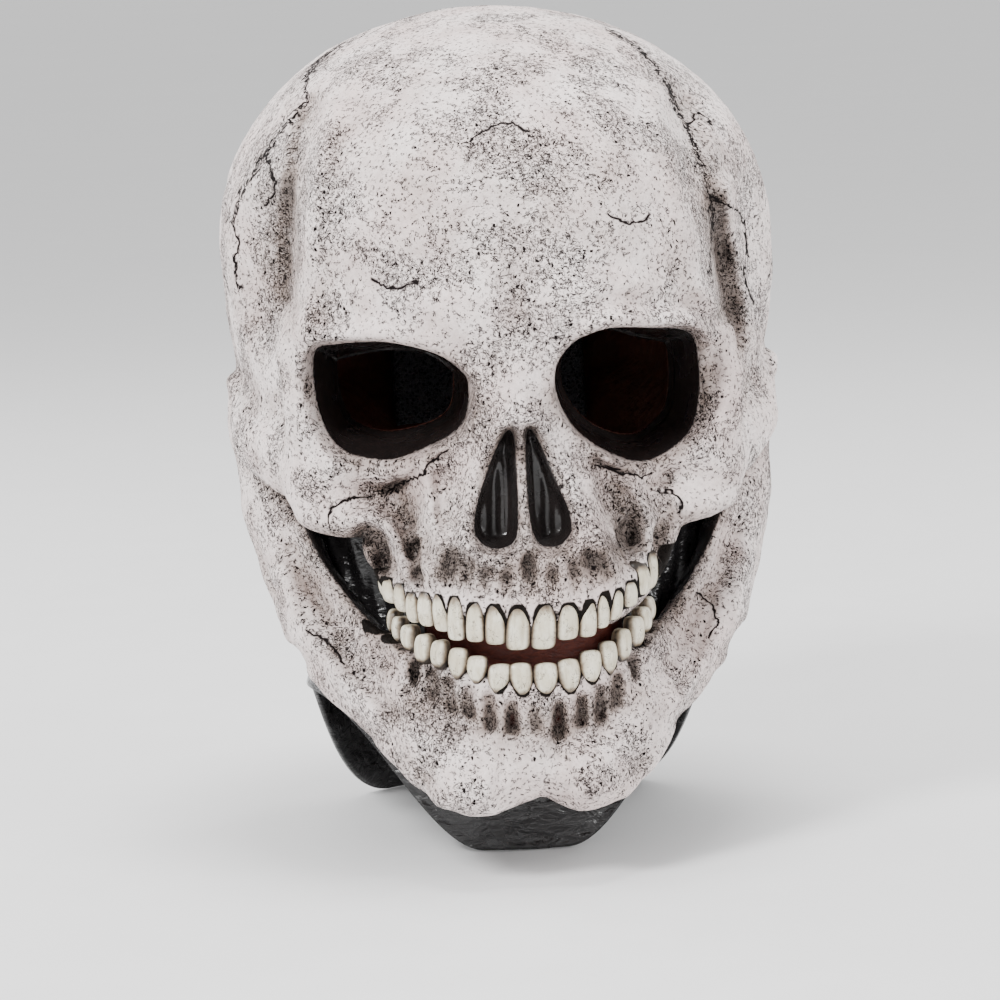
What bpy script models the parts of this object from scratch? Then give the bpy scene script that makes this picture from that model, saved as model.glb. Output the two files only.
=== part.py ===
"""Full-head latex skull mask with a moving jaw, built as separate pieces in metres.

The mask stands on its neck hem: +Z is up, the face looks along -Y, and +X is the wearer's left.
The origin is the bottom centre of the bounding box.
"""

import bmesh
import bpy
from math import cos, pi, radians, sin, sqrt
from mathutils import Vector

MM = 0.001

# Driving dimensions, in millimetres.
CROWN_Z = 276.0
HALF_WIDTH = 92.0
HALF_DEPTH = 114.5
SKULL_Y = 0.0
EQUATOR_Z = 198.0
BASE_DROP = 128.0
SKIN = 3.0
GAP = 0.4
HINGE_Y, HINGE_Z = -8.0, 138.0

# The face, the maxilla and the cheekbones: centre and radii of each mass.
FACE = ((0.0, -57.0, 160.0), (72.0, 57.0, 60.0))
ARCH = ((69.5, -39.0, 134.0), (15.5, 50.0, 21.0))
ARCH_YAW = radians(17.0)
MAXILLA_RADII = (46.0, 42.0)
MAXILLA_Y = -68.0
MAXILLA_Z = (95.0, 132.0)
CHEEK_EDGE_Z = 110.0
BASE_EDGE_Z = 106.0

# The dental arch, and how far it climbs towards the molars.
ARCH_X, ARCH_Y, ARCH_CENTRE_Y = 44.5, 43.5, -68.5
LOWER_ARCH_INSET = 1.5
BITE_SLOPE = 0.25
UPPER_EDGE_Z, LOWER_EDGE_Z = 78.0, 72.5
UPPER_GUM_Z, LOWER_GUM_Z = 94.2, 61.0
TEETH_PER_ROW = 14
TOOTH_DEPTH = 5.0

# The jaw along each side, from the chin to the joint:
# x and y of its outer skin at the lower edge, the lower edge's z, the upper edge's z, the outward flare.
JAW = (
    (0.0, -109.0, 25.0, 58.0, 0.0),
    (17.0, -107.0, 23.5, 58.0, 0.0),
    (31.0, -97.0, 26.0, 60.5, 0.05),
    (43.0, -82.0, 36.0, 66.5, 0.1),
    (57.0, -60.0, 49.0, 76.0, 0.1),
    (66.0, -44.0, 56.0, 96.0, 0.14),
    (71.5, -28.0, 62.0, 106.0, 0.2),
    (75.5, -14.0, 78.0, 107.0, 0.2),
    (78.0, -4.0, 94.0, 107.0, 0.2),
)

# The neck: its half width and front and back reach at the collar, and those of the lip inside the skull.
NECK_SKIN = 2.0
NECK = (71.0, 52.5, 84.0)
LIP = (59.0, 52.5, 74.0)
LIP_TOP_Z, THROAT_TOP_Z = 114.0, 58.0
HEM_SIDE_Z, HEM_FRONT_HALF = 50.0, 14.0
SLIT_HALF_WIDTH, SLIT_TOP_Z = 1.5, 78.0

# The hook-and-loop closure across the slit: height span, half length and layer thickness.
TAB_Z = (20.0, 44.0)
TAB_HALF = 27.0
LAYER = 1.4

# Foam pads.
PAD_THICKNESS = 10.0
CHIN_PAD_THICKNESS = 9.0

PAINT = {
    "bone": ((0.78, 0.74, 0.70), 0.6),
    "tooth": ((0.80, 0.77, 0.68), 0.4),
    "black_latex": ((0.02, 0.018, 0.017), 0.25),
    "foam": ((0.12, 0.12, 0.13), 0.95),
    "elastic": ((0.03, 0.03, 0.03), 0.9),
    "hook_and_loop": ((0.02, 0.02, 0.02), 1.0),
}


# ---- tools ----

def material(name):
    colour, roughness = PAINT[name]
    found = bpy.data.materials.get(name)
    if found is None:
        found = bpy.data.materials.new(name)
        found.use_nodes = True
        shader = found.node_tree.nodes["Principled BSDF"]
        shader.inputs["Base Color"].default_value = (*colour, 1.0)
        shader.inputs["Roughness"].default_value = roughness
        shader.inputs["Metallic"].default_value = 0.0
    return found


def from_bmesh(name, bm):
    bmesh.ops.recalc_face_normals(bm, faces=bm.faces)
    mesh = bpy.data.meshes.new(name)
    bm.to_mesh(mesh)
    bm.free()
    obj = bpy.data.objects.new(name, mesh)
    bpy.context.scene.collection.objects.link(obj)
    return obj


def place(obj, centre=(0.0, 0.0, 0.0)):
    obj.location = Vector(centre) * MM
    return obj


def ellipsoid(name, centre, radii, drop=None, segments=24, rings=14):
    """An ellipsoid about its own centre. drop is the radius of its lower half, if that differs."""
    bm = bmesh.new()
    bmesh.ops.create_uvsphere(bm, u_segments=segments, v_segments=rings, radius=1.0)
    for vert in bm.verts:
        height = radii[2] if vert.co.z >= 0 or drop is None else drop
        vert.co = Vector((vert.co.x * radii[0], vert.co.y * radii[1], vert.co.z * height)) * MM
    return place(from_bmesh(name, bm), centre)


def loft(name, rings, closed=True, capped=True):
    """A solid through rings of points in millimetres, each with as many points as the last."""
    bm = bmesh.new()
    layers = [[bm.verts.new(Vector(point) * MM) for point in ring] for ring in rings]
    count = len(layers[0])
    around = range(count) if closed else range(count - 1)
    for low, high in zip(layers, layers[1:]):
        for i in around:
            j = (i + 1) % count
            bm.faces.new((low[i], low[j], high[j], high[i]))
    if capped:
        bm.faces.new(layers[0])
        bm.faces.new(list(reversed(layers[-1])))
    return from_bmesh(name, bm)


def plate(name, outer, inner):
    """A closed wall between two equal grids of points in millimetres."""
    bm = bmesh.new()
    grids = [[[bm.verts.new(Vector(p) * MM) for p in row] for row in grid] for grid in (outer, inner)]
    rows, columns = len(outer), len(outer[0])
    for grid in grids:
        for i in range(rows - 1):
            for j in range(columns - 1):
                bm.faces.new((grid[i][j], grid[i][j + 1], grid[i + 1][j + 1], grid[i + 1][j]))
    rim = [(0, j) for j in range(columns)] + [(i, columns - 1) for i in range(1, rows)]
    rim += [(rows - 1, j) for j in range(columns - 2, -1, -1)] + [(i, 0) for i in range(rows - 2, 0, -1)]
    front, back = grids
    for (i, j), (k, m) in zip(rim, rim[1:] + rim[:1]):
        bm.faces.new((front[i][j], front[k][m], back[k][m], back[i][j]))
    return from_bmesh(name, bm)


def block(name, low, high):
    """A box between two corners."""
    corners = [(low[0], low[1]), (high[0], low[1]), (high[0], high[1]), (low[0], high[1])]
    return loft(name, [[(x, y, z) for x, y in corners] for z in (low[2], high[2])])


def boolean(target, other, operation):
    """Applies one Boolean to target and removes the other solid."""
    step = target.modifiers.new(operation, "BOOLEAN")
    step.operation = operation
    step.object = other
    step.solver = "EXACT"
    graph = bpy.context.evaluated_depsgraph_get()
    result = bpy.data.meshes.new_from_object(target.evaluated_get(graph))
    target.modifiers.remove(step)
    target.data = result
    bpy.data.objects.remove(other)
    return target


def finish(obj, name, paint, smooth=True):
    """Names a node, gives it its material and shades its curved faces smooth."""
    obj.name = name
    obj.data.name = name
    obj.data.materials.clear()
    obj.data.materials.append(material(paint))
    if smooth:
        obj.data.shade_smooth()
        obj.data.set_sharp_from_angle(angle=radians(40))
    return obj


def mix(a, b, t):
    return a + (b - a) * t


def smooth_between(rows, t):
    """A point on the Catmull-Rom curve through rows of numbers, t from 0 to 1."""
    place_at = t * (len(rows) - 1)
    i = min(int(place_at), len(rows) - 2)
    u = place_at - i
    points = [rows[max(0, min(len(rows) - 1, i + k))] for k in (-1, 0, 1, 2)]
    out = []
    for a, b, c, d in zip(*points):
        out.append(0.5 * (2 * b + (c - a) * u + (2 * a - 5 * b + 4 * c - d) * u * u
                          + (3 * b - a - 3 * c + d) * u ** 3))
    return out


# ---- the skull ----

def cylinder(name, centre_y, radii, z_range, segments=28):
    ring = [(radii[0] * cos(2 * pi * k / segments), centre_y + radii[1] * sin(2 * pi * k / segments))
            for k in range(segments)]
    return loft(name, [[(x, y, z) for x, y in ring] for z in z_range])


def cranium(shrink):
    radii = (HALF_WIDTH - shrink, HALF_DEPTH - shrink, CROWN_Z - EQUATOR_Z - shrink)
    return ellipsoid("cranium", (0, SKULL_Y, EQUATOR_Z), radii, BASE_DROP - shrink, segments=36, rings=20)


def skull_mass(shrink, floor):
    """The skull as one solid, each mass drawn in by shrink and its open underside at floor below the edges."""
    def less(radii):
        return tuple(r - shrink for r in radii)

    mass = boolean(cranium(shrink), ellipsoid("face", FACE[0], less(FACE[1])), "UNION")
    for side in (-1, 1):
        arch = ellipsoid("arch", (side * ARCH[0][0], ARCH[0][1], ARCH[0][2]), less(ARCH[1]), segments=16, rings=10)
        arch.rotation_euler.z = -side * ARCH_YAW
        mass = boolean(mass, arch, "UNION")
    under_cheeks = block("under", (-120, -140, 0), (120, 6, CHEEK_EDGE_Z - floor))
    mass = boolean(mass, under_cheeks, "DIFFERENCE")
    under_base = block("under", (-120, -140, 0), (120, 140, BASE_EDGE_Z - floor))
    mass = boolean(mass, under_base, "DIFFERENCE")
    low, high = MAXILLA_Z
    maxilla = cylinder("maxilla", MAXILLA_Y, less(MAXILLA_RADII), (low - floor, high))
    return boolean(mass, maxilla, "UNION")


def socket_ring(side, y, inset=0.0, grow=0.0):
    """The rim of an eye socket at depth y: flat above, rounded below, drawn in towards the nose by inset."""
    ring = []
    for k in range(24):
        a = 2 * pi * k / 24
        c, s = cos(a), sin(a)
        half_width = 24.5 + grow - inset / 2
        half_height = (17.0 if s > 0 else 20.0) + grow - inset / 4
        x = 39.0 - inset / 2 + half_width * abs(c) ** 0.8 * (1 if c > 0 else -1)
        z = 156.0 + half_height * abs(s) ** 0.8 * (1 if s > 0 else -1) - 0.06 * (x - 39.0)
        ring.append((side * x, y, z))
    return ring


SOCKET_INSET = 9.0
SOCKET_BACK_Y = -62.0


def socket_funnel(side, grow, past=0.0):
    """The tapered solid of one eye socket, from ahead of the brow to its back edge."""
    return loft("socket", [socket_ring(side, -125.0, 0.0, grow),
                           socket_ring(side, -84.0, 2.0, grow),
                           socket_ring(side, SOCKET_BACK_Y + past, SOCKET_INSET, grow)])


def nose_ring(y, grow, squeeze=1.0):
    """The pear-shaped nose opening at depth y: a narrow top and a round bottom."""
    ring = []
    low, high, half = 109.5, 147.0, 20.0
    for k in range(20):
        a = 2 * pi * k / 20
        z = mix(low, high, 0.5 + 0.5 * sin(a))
        width = half * (0.30 + 0.70 * (1 - (0.5 + 0.5 * sin(a))) ** 0.7)
        x = cos(a) * width
        centre_z = 125.0
        ring.append((x * squeeze + grow * cos(a), y, centre_z + (z - centre_z) * squeeze + grow * sin(a)))
    return ring


NOSE_BACK_Y = -91.0


def nose_cup(grow, back):
    return loft("nose", [nose_ring(-125.0, grow), nose_ring(back, grow, 0.86)])


def make_skull():
    shell = boolean(skull_mass(0.0, 0.0), skull_mass(SKIN, 20.0), "DIFFERENCE")
    for side in (-1, 1):
        shell = boolean(shell, socket_funnel(side, GAP, past=60.0), "DIFFERENCE")
    shell = boolean(shell, nose_cup(GAP, -60.0), "DIFFERENCE")
    finish(shell, "skull_shell", "bone")


def make_sockets():
    """Each black socket is a funnel open at both ends, trimmed flush with the face."""
    for side, name in ((1, "eye_socket_left"), (-1, "eye_socket_right")):
        wall = socket_funnel(side, 0.0)
        wall = boolean(wall, socket_funnel(side, -2.2, past=5.0), "DIFFERENCE")
        wall = boolean(wall, skull_mass(0.0, 0.0), "INTERSECT")
        finish(wall, name, "black_latex")


def make_nose():
    """The black nose recess is a cup whose floor lies behind the face, with a thin septum standing in it."""
    cup = nose_cup(0.0, NOSE_BACK_Y)
    cup = boolean(cup, loft("hollow", [nose_ring(-130.0, -2.2), nose_ring(NOSE_BACK_Y - 2.2, -2.2, 0.86)]),
                  "DIFFERENCE")
    cup = boolean(cup, skull_mass(0.0, 0.0), "INTERSECT")
    finish(cup, "nose_cavity", "black_latex")
    septum = loft("septum", [
        [(-1.2, -107.0, 115.0), (1.2, -107.0, 115.0), (1.2, NOSE_BACK_Y - 2.6, 115.0), (-1.2, NOSE_BACK_Y - 2.6, 115.0)],
        [(-0.8, -110.0, 140.0), (0.8, -110.0, 140.0), (0.8, NOSE_BACK_Y - 2.6, 137.5), (-0.8, NOSE_BACK_Y - 2.6, 137.5)]])
    finish(septum, "nasal_septum", "bone", smooth=False)


# ---- teeth ----

def tooth(angle, arch, edge_z, gum_z, width):
    """One tooth on the dental arch: a wedge at its biting edge, narrowing a little at the gum."""
    outward = Vector((sin(angle) * arch[1], -cos(angle) * arch[0], 0)).normalized()
    along = Vector((-outward.y, outward.x, 0))
    centre = Vector((arch[0] * sin(angle), ARCH_CENTRE_Y - arch[1] * cos(angle), 0))
    rings = []
    for share, wide, thick in ((0.0, 0.96, 0.5), (0.15, 1.06, 0.9), (0.65, 1.04, 1.0), (1.0, 0.84, 0.9)):
        half, deep = width * wide / 2, TOOTH_DEPTH * thick / 2
        ring = []
        for u, v in ((-1, 0), (-0.6, 1), (0.6, 1), (1, 0), (0.7, -0.6), (-0.7, -0.6)):
            point = centre + along * (half * u) + outward * (deep * v)
            ring.append((point.x, point.y, mix(edge_z, gum_z, share)))
        rings.append(ring)
    return loft("tooth", rings)


def tooth_row(name, inset, spread, edge_z, gum_z, gum_slope):
    arch = (ARCH_X - inset, ARCH_Y - inset)
    row = None
    for k in range(TEETH_PER_ROW):
        angle = ((k + 0.5) / TEETH_PER_ROW - 0.5) * spread
        back = arch[1] * (1 - cos(angle))
        width = sqrt((arch[0] * cos(angle)) ** 2 + (arch[1] * sin(angle)) ** 2) * spread / TEETH_PER_ROW
        one = tooth(angle, arch, edge_z + BITE_SLOPE * back, gum_z + gum_slope * back, width)
        row = one if row is None else boolean(row, one, "UNION")
    finish(row, name, "tooth")


def make_teeth():
    tooth_row("upper_teeth", 0.0, radians(166), UPPER_EDGE_Z, UPPER_GUM_Z, 0.0)
    tooth_row("lower_teeth", LOWER_ARCH_INSET, radians(150), LOWER_EDGE_Z, LOWER_GUM_Z, BITE_SLOPE)


# ---- the jaw ----

def jaw_row(share):
    """The jaw's section at share: 0 at the chin, 1 or -1 at the joint, with its outward direction."""
    x, y, low, high, flare = smooth_between(JAW, abs(share))
    before = smooth_between(JAW, max(0.0, abs(share) - 0.02))
    after = smooth_between(JAW, min(1.0, abs(share) + 0.02))
    along = Vector((after[0] - before[0], after[1] - before[1]))
    if abs(share) < 0.03:
        along = Vector((1.0, 0.0))
    outward = Vector((along.y, -along.x)).normalized()
    return x, y, low, high, flare, outward


def jaw_grid(inward, reach=1.0, trim=(0.0, 0.0), columns=20, rows=5):
    """The jaw's skin drawn in by inward, out to reach on each side, with its lower and upper edges trimmed."""
    grid = []
    for i in range(-columns, columns + 1):
        share = reach * i / columns
        x, y, low, high, flare, outward = jaw_row(share)
        side = 1 if share >= 0 else -1
        column = []
        for j in range(rows + 1):
            z = mix(low + trim[0], high - trim[1], j / rows)
            bulge = 3.0 * sin(pi * (z - low) / (high - low)) * max(0.0, 1 - abs(share) / 0.3)
            out = bulge + flare * (z - low) - inward
            column.append((side * (x + outward.x * out), y + outward.y * out, z))
        grid.append(column)
    return grid


def make_jaw():
    finish(plate("jaw", jaw_grid(0.0), jaw_grid(SKIN)), "jaw_shell", "bone")
    near, far = SKIN + GAP, SKIN + GAP + CHIN_PAD_THICKNESS
    cup = plate("cup", jaw_grid(near, 0.26, (5.0, 6.0), 6, 4), jaw_grid(far, 0.26, (5.0, 6.0), 6, 4))
    finish(cup, "chin_cup", "foam")


# ---- the neck ----

def smoothstep(low, high, value):
    t = min(1.0, max(0.0, (value - low) / (high - low)))
    return t * t * (3 - 2 * t)


def neck_point(angle, share, inset):
    """A point of the neck: angle 0 at the wearer's left, 90 degrees at the nape; share 0 at the hem."""
    c, s = cos(angle), sin(angle)
    lip = smoothstep(0.42, 0.94, share) if s > 0 else smoothstep(0.42, 0.94, share) * smoothstep(-0.9, 0, s)
    half = mix(NECK[0], LIP[0], lip) - inset
    reach = mix(NECK[2], LIP[2], lip) if s > 0 else mix(NECK[1], LIP[1], lip)
    x, y = half * c, SKULL_Y + (reach - inset) * s
    if s < 0:
        hem = HEM_SIDE_Z * smoothstep(HEM_FRONT_HALF, NECK[0], abs(x))
        top = mix(THROAT_TOP_Z, LIP_TOP_Z, smoothstep(-0.85, -0.1, s))
    else:
        hem = HEM_SIDE_Z * (1 - smoothstep(0.1, 0.8, s))
        top = LIP_TOP_Z
    return x, y, mix(hem, top, share)


def neck_grid(inset, columns=48, rows=8):
    return [[neck_point(2 * pi * k / columns, j / rows, inset) for k in range(columns)] for j in range(rows + 1)]


def tube(name, outer, inner):
    """A closed wall between two equal grids of rings."""
    bm = bmesh.new()
    walls = [[[bm.verts.new(Vector(p) * MM) for p in ring] for ring in grid] for grid in (outer, inner)]
    count = len(outer[0])
    for wall in walls:
        for low, high in zip(wall, wall[1:]):
            for k in range(count):
                m = (k + 1) % count
                bm.faces.new((low[k], low[m], high[m], high[k]))
    for end in (0, -1):
        for k in range(count):
            m = (k + 1) % count
            bm.faces.new((walls[0][end][k], walls[0][end][m], walls[1][end][m], walls[1][end][k]))
    return from_bmesh(name, bm)


def make_neck():
    neck = tube("neck", neck_grid(0.0), neck_grid(NECK_SKIN))
    slit = block("slit", (-SLIT_HALF_WIDTH, 40, -20), (SLIT_HALF_WIDTH, 120, SLIT_TOP_Z))
    finish(boolean(neck, slit, "DIFFERENCE"), "neck_cowl", "black_latex")


# ---- the soft skins between skull, jaw and neck ----

def cheek_grid(side, inset, rows=4, columns=6):
    """The folded black skin behind the cheekbone, just inside the ramus."""
    grid = []
    for i in range(columns + 1):
        share = mix(0.60, 0.93, i / columns)
        x, y, low, high, flare, outward = jaw_row(share)
        column = []
        for j in range(rows + 1):
            z = mix(low + 8.0, 108.5, j / rows)
            out = flare * (z - low) - SKIN - GAP - inset
            column.append((side * (x + outward.x * out), y + outward.y * out, z))
        grid.append(column)
    return grid


def throat_grid(drop, rows=4, columns=9):
    """The sheet under the tongue, from the chin back to the front of the neck."""
    grid = []
    for i in range(-columns, columns + 1):
        share = 0.5 * i / columns
        x, y, low, high, flare, outward = jaw_row(share)
        side = 1 if share >= 0 else -1
        out = -SKIN - GAP
        front = Vector((side * (x + outward.x * out), y + outward.y * out, low + 2.0))
        half, reach = NECK[0] + 1.0, NECK[1] + 1.0
        back_x = min(0.86, max(-0.86, front.x / half))
        back = Vector((half * back_x * 0.92, SKULL_Y - reach * sqrt(1 - (back_x * 0.92) ** 2), front.z + 7.0))
        column = []
        for j in range(rows + 1):
            t = j / rows
            point = front.lerp(back, t)
            column.append((point.x, point.y, point.z + 3.0 * sin(pi * t) - drop))
        grid.append(column)
    return grid


def make_soft_skins():
    for side, name in ((1, "cheek_membrane_left"), (-1, "cheek_membrane_right")):
        finish(plate("cheek", cheek_grid(side, 0.0), cheek_grid(side, 1.4)), name, "black_latex")
    finish(plate("throat", throat_grid(0.0), throat_grid(1.4)), "throat_membrane", "black_latex")


# ---- the closure at the nape ----

def closure_grid(reach, lift, z_range, columns=12):
    """A strip round the back of the neck from x reach[0] to reach[1], lift(x) clear of the latex."""
    grid = []
    for i in range(columns + 1):
        x = mix(reach[0], reach[1], i / columns)
        out = lift(x)
        half, back = NECK[0] + out, NECK[2] + out
        y = SKULL_Y + back * sqrt(1 - (x / half) ** 2)
        grid.append([(x, y, z_range[0]), (x, y, z_range[1])])
    return grid


def strip(name, reach, lift, z_range, paint):
    def upper(x):
        return lift(x) + LAYER

    wall = plate(name, closure_grid(reach, upper, z_range), closure_grid(reach, lift, z_range))
    finish(wall, name, paint)


def make_closure():
    """A tab stitched on at -X, with hook tape under its free end and loop tape on the neck below that."""
    loop, hook, over = GAP, GAP + LAYER + GAP, GAP + 2 * (LAYER + GAP)
    patch_z = (TAB_Z[0] + 2.0, TAB_Z[1] - 2.0)
    strip("closure_loop_patch", (5.0, TAB_HALF - 2), lambda x: loop, patch_z, "hook_and_loop")
    strip("closure_hook_patch", (5.0, TAB_HALF - 2), lambda x: hook, patch_z, "hook_and_loop")
    strip("closure_tab", (-TAB_HALF, TAB_HALF),
          lambda x: mix(loop, over, smoothstep(-16.0, 0.0, x)), TAB_Z, "elastic")


# ---- foam pads ----

def pad(name, low, high):
    """A foam pad that follows the inside of the cranium between two corners."""
    near, far = SKIN + GAP, SKIN + GAP + PAD_THICKNESS
    wall = boolean(cranium(near), cranium(far), "DIFFERENCE")
    finish(boolean(wall, block("reach", low, high), "INTERSECT"), name, "foam")


def make_pads():
    pad("forehead_pad", (-36, -130, 204), (36, -60, 234))
    pad("crown_pad", (-36, -28, 230), (36, 42, 280))
    pad("nape_pad", (-34, 60, 128), (34, 130, 162))
    pad("temple_pad_left", (50, -22, 176), (100, 28, 216))
    pad("temple_pad_right", (-100, -22, 176), (-50, 28, 216))


def main():
    for obj in list(bpy.data.objects):
        bpy.data.objects.remove(obj)
    make_skull()
    make_sockets()
    make_nose()
    make_teeth()
    make_jaw()
    make_neck()
    make_soft_skins()
    make_closure()
    make_pads()


main()
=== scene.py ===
"""The looks of the latex skull mask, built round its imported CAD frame.

The skull and the jaw are one thin casting. It is shaped here as a field of distances, in millimetres,
with masses added, hollows cut and brush strokes laid on, and then turned into a mesh on a grid.
The face looks along -Y, +Z is up and +X is the wearer's left.
"""

from math import cos, pi, radians, sin, sqrt

import bpy
import numpy as np
from mathutils import Matrix, Vector

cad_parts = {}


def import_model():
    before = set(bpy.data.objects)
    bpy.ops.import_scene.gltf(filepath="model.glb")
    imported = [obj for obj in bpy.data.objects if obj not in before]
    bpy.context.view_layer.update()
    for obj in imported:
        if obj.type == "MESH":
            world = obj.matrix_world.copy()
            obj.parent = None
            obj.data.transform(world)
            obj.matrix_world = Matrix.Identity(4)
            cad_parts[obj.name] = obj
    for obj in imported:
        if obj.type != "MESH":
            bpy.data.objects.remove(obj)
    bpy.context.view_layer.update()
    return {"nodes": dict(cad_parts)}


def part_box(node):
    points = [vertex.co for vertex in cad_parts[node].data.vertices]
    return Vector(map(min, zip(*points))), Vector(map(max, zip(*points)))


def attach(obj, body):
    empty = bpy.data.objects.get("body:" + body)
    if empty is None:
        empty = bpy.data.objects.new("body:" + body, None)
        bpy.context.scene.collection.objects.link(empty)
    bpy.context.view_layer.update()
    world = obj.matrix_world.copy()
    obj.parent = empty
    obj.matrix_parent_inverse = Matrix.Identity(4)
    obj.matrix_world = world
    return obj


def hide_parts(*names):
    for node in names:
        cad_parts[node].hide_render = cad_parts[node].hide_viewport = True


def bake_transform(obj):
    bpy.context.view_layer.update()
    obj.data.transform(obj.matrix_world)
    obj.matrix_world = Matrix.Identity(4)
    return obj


F32 = np.float32
MM = 0.001
WALL = 4.6            # the casting's thickness
FINE, QUICK = 1.25, 1.6
FACE_Y = -26.0        # strokes seen from the front reach no further back than this

# Eye socket rims seen from the front, from the nose round by the brow: (x, z), wearer's right then left.
SOCKET_RIGHT = ((-14.7, 158.5), (-16.2, 164.5), (-26.0, 171.6), (-41.2, 174.8), (-56.0, 174.2), (-63.7, 171.6),
                (-64.2, 157.3), (-61.0, 145.3), (-54.2, 138.0), (-41.2, 135.8), (-28.1, 140.1), (-20.0, 144.6),
                (-15.8, 150.4))
SOCKET_LEFT = ((12.2, 155.0), (12.3, 166.0), (18.5, 174.0), (28.4, 177.6), (43.2, 175.6), (55.0, 174.0),
               (59.6, 168.5), (60.2, 152.0), (56.1, 139.7), (43.2, 131.8), (30.9, 134.3), (18.5, 143.4))
# The nose pits: (x, z).
NOSE_RIGHT = ((-1.6, 142.0), (-3.6, 147.4), (-7.6, 142.5), (-12.4, 131.0), (-15.8, 120.5), (-15.6, 113.5),
              (-11.5, 109.4), (-6.0, 109.4), (-2.4, 112.5), (-1.4, 122.0))
NOSE_LEFT = ((1.1, 142.5), (2.8, 147.6), (6.6, 141.5), (10.8, 130.5), (14.6, 120.5), (15.0, 113.5),
             (11.0, 109.2), (6.0, 109.2), (2.8, 112.5), (1.3, 122.0))

# The dark recess between the cheekbone, the teeth and the jaw, seen from the front: (x, z).
RECESS = ((69.0, 113.0), (59.0, 112.5), (49.5, 112.0), (45.0, 103.0), (46.0, 92.0), (44.0, 82.0), (41.0, 75.0),
          (52.0, 84.0), (60.0, 94.0), (66.0, 104.0))

# Teeth from the wearer's right to the left: degrees round the arch, height of the gum, height of the edge.
UPPER = ((-84, 100, 90.5), (-73, 98, 88.5), (-62.5, 97, 87.4), (-54, 95, 84), (-46, 95.5, 83.6), (-38.5, 95.5, 82),
         (-31, 95.5, 79.2), (-22.6, 93.5, 79), (-13.9, 93, 78.6), (-4.4, 92.6, 77), (6.2, 92.6, 77), (16.5, 92, 79.5),
         (25.5, 92.5, 79.6), (33, 94.5, 81), (40.5, 94.5, 84), (48.5, 96, 87), (58, 100, 89.5), (68.5, 103, 90.5),
         (80, 104.5, 91.5))
LOWER = ((-86, 79, 87), (-75, 77, 85), (-63.5, 75.5, 84), (-52.5, 72.3, 82), (-43, 71.3, 80), (-33.2, 67.9, 78.2),
         (-24, 66.9, 76), (-13.9, 63.7, 73.6), (-3.9, 62.3, 73.2), (6.6, 62.2, 73), (17.5, 62.1, 73.3),
         (28, 64.4, 75.2), (38, 66.5, 77.5), (47.5, 70.3, 80.6), (58, 73.5, 83.3), (68, 77, 86), (79, 79.5, 87.5))
ARCH = (44.5, 43.5)
ARCH_Y = -68.5
FRONT_TEETH = 48      # degrees round the arch to each side
# For the roots of each row: inset from the arch, which way they run, how far, and how far back their ends lie.
UPPER_ROOTS = (1.0, 1, 15.0, 4.5)
LOWER_ROOTS = (3.2, -1, 13.0, 1.0)
ROOT_HOLLOWS = {1: 0.9, -1: 3.0}     # how deep the front teeth's are, for each way


# ---- fields: p is an array of points, and each shape gives their distances ----

def smooth_min(a, b, k):
    h = np.maximum(k - np.abs(a - b), 0.0) / k
    return np.minimum(a, b) - h * h * k * 0.25


def smooth_max(a, b, k):
    return -smooth_min(-a, -b, k)


def ramp(low, high, value):
    t = np.clip((value - low) / (high - low), 0, 1)
    return t * t * (3 - 2 * t)


def smoothstep(low, high, value):
    return float(ramp(low, high, value))


def rotation(turn):
    """Turns by degrees about X, then Y, then Z."""
    x, y, z = np.radians(turn)
    rx = np.array([[1, 0, 0], [0, cos(x), -sin(x)], [0, sin(x), cos(x)]])
    ry = np.array([[cos(y), 0, sin(y)], [0, 1, 0], [-sin(y), 0, cos(y)]])
    rz = np.array([[cos(z), -sin(z), 0], [sin(z), cos(z), 0], [0, 0, 1]])
    return (rz @ ry @ rx).astype(F32)


def egg(p, centre, low, high=None, turn=None):
    """An ellipsoid whose radii may differ on the low and the high side of each axis."""
    q = p - np.array(centre, F32)
    if turn:
        q = q @ rotation(turn)
    r = np.where(q < 0, np.array(low, F32), np.array(high or low, F32))
    a = np.sqrt(((q / r) ** 2).sum(1))
    b = np.sqrt(((q / (r * r)) ** 2).sum(1))
    return a * (a - 1.0) / np.maximum(b, 1e-6)


def box(p, centre, half):
    q = np.abs(p - np.array(centre, F32)) - np.array(half, F32)
    return np.sqrt((np.maximum(q, 0) ** 2).sum(1)) + np.minimum(q.max(1), 0)


def to_line(p, points):
    """Distance to a polyline, and how far along it the nearest place is, from 0 to 1."""
    points = np.array(points, F32).reshape(-1, p.shape[1])
    if len(points) == 1:
        return np.sqrt(((p - points[0]) ** 2).sum(1)), np.zeros(len(p), F32)
    lengths = np.sqrt(((points[1:] - points[:-1]) ** 2).sum(1))
    total, before = lengths.sum(), 0.0
    best, along = np.full(len(p), 1e9, F32), np.zeros(len(p), F32)
    for a, b, length in zip(points, points[1:], lengths):
        d = b - a
        t = np.clip(((p - a) @ d) / max(length * length, 1e-9), 0, 1)
        e = p - a - t[:, None] * d
        gap = (e * e).sum(1)
        near = gap < best
        best = np.where(near, gap, best)
        along = np.where(near, (before + t * length) / total, along)
        before += length
    return np.sqrt(best), along


def strap(p, points, radii, stretch=(1, 1, 1), turn=(0, 0, 0)):
    """A rounded tube along a polyline, flattened by stretch in axes turned by turn."""
    m = rotation(turn) * np.array(stretch, F32)
    d, t = to_line(p @ m, np.array(points, F32) @ m)
    return d - np.interp(t, np.linspace(0, 1, len(radii)), radii).astype(F32)


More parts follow.
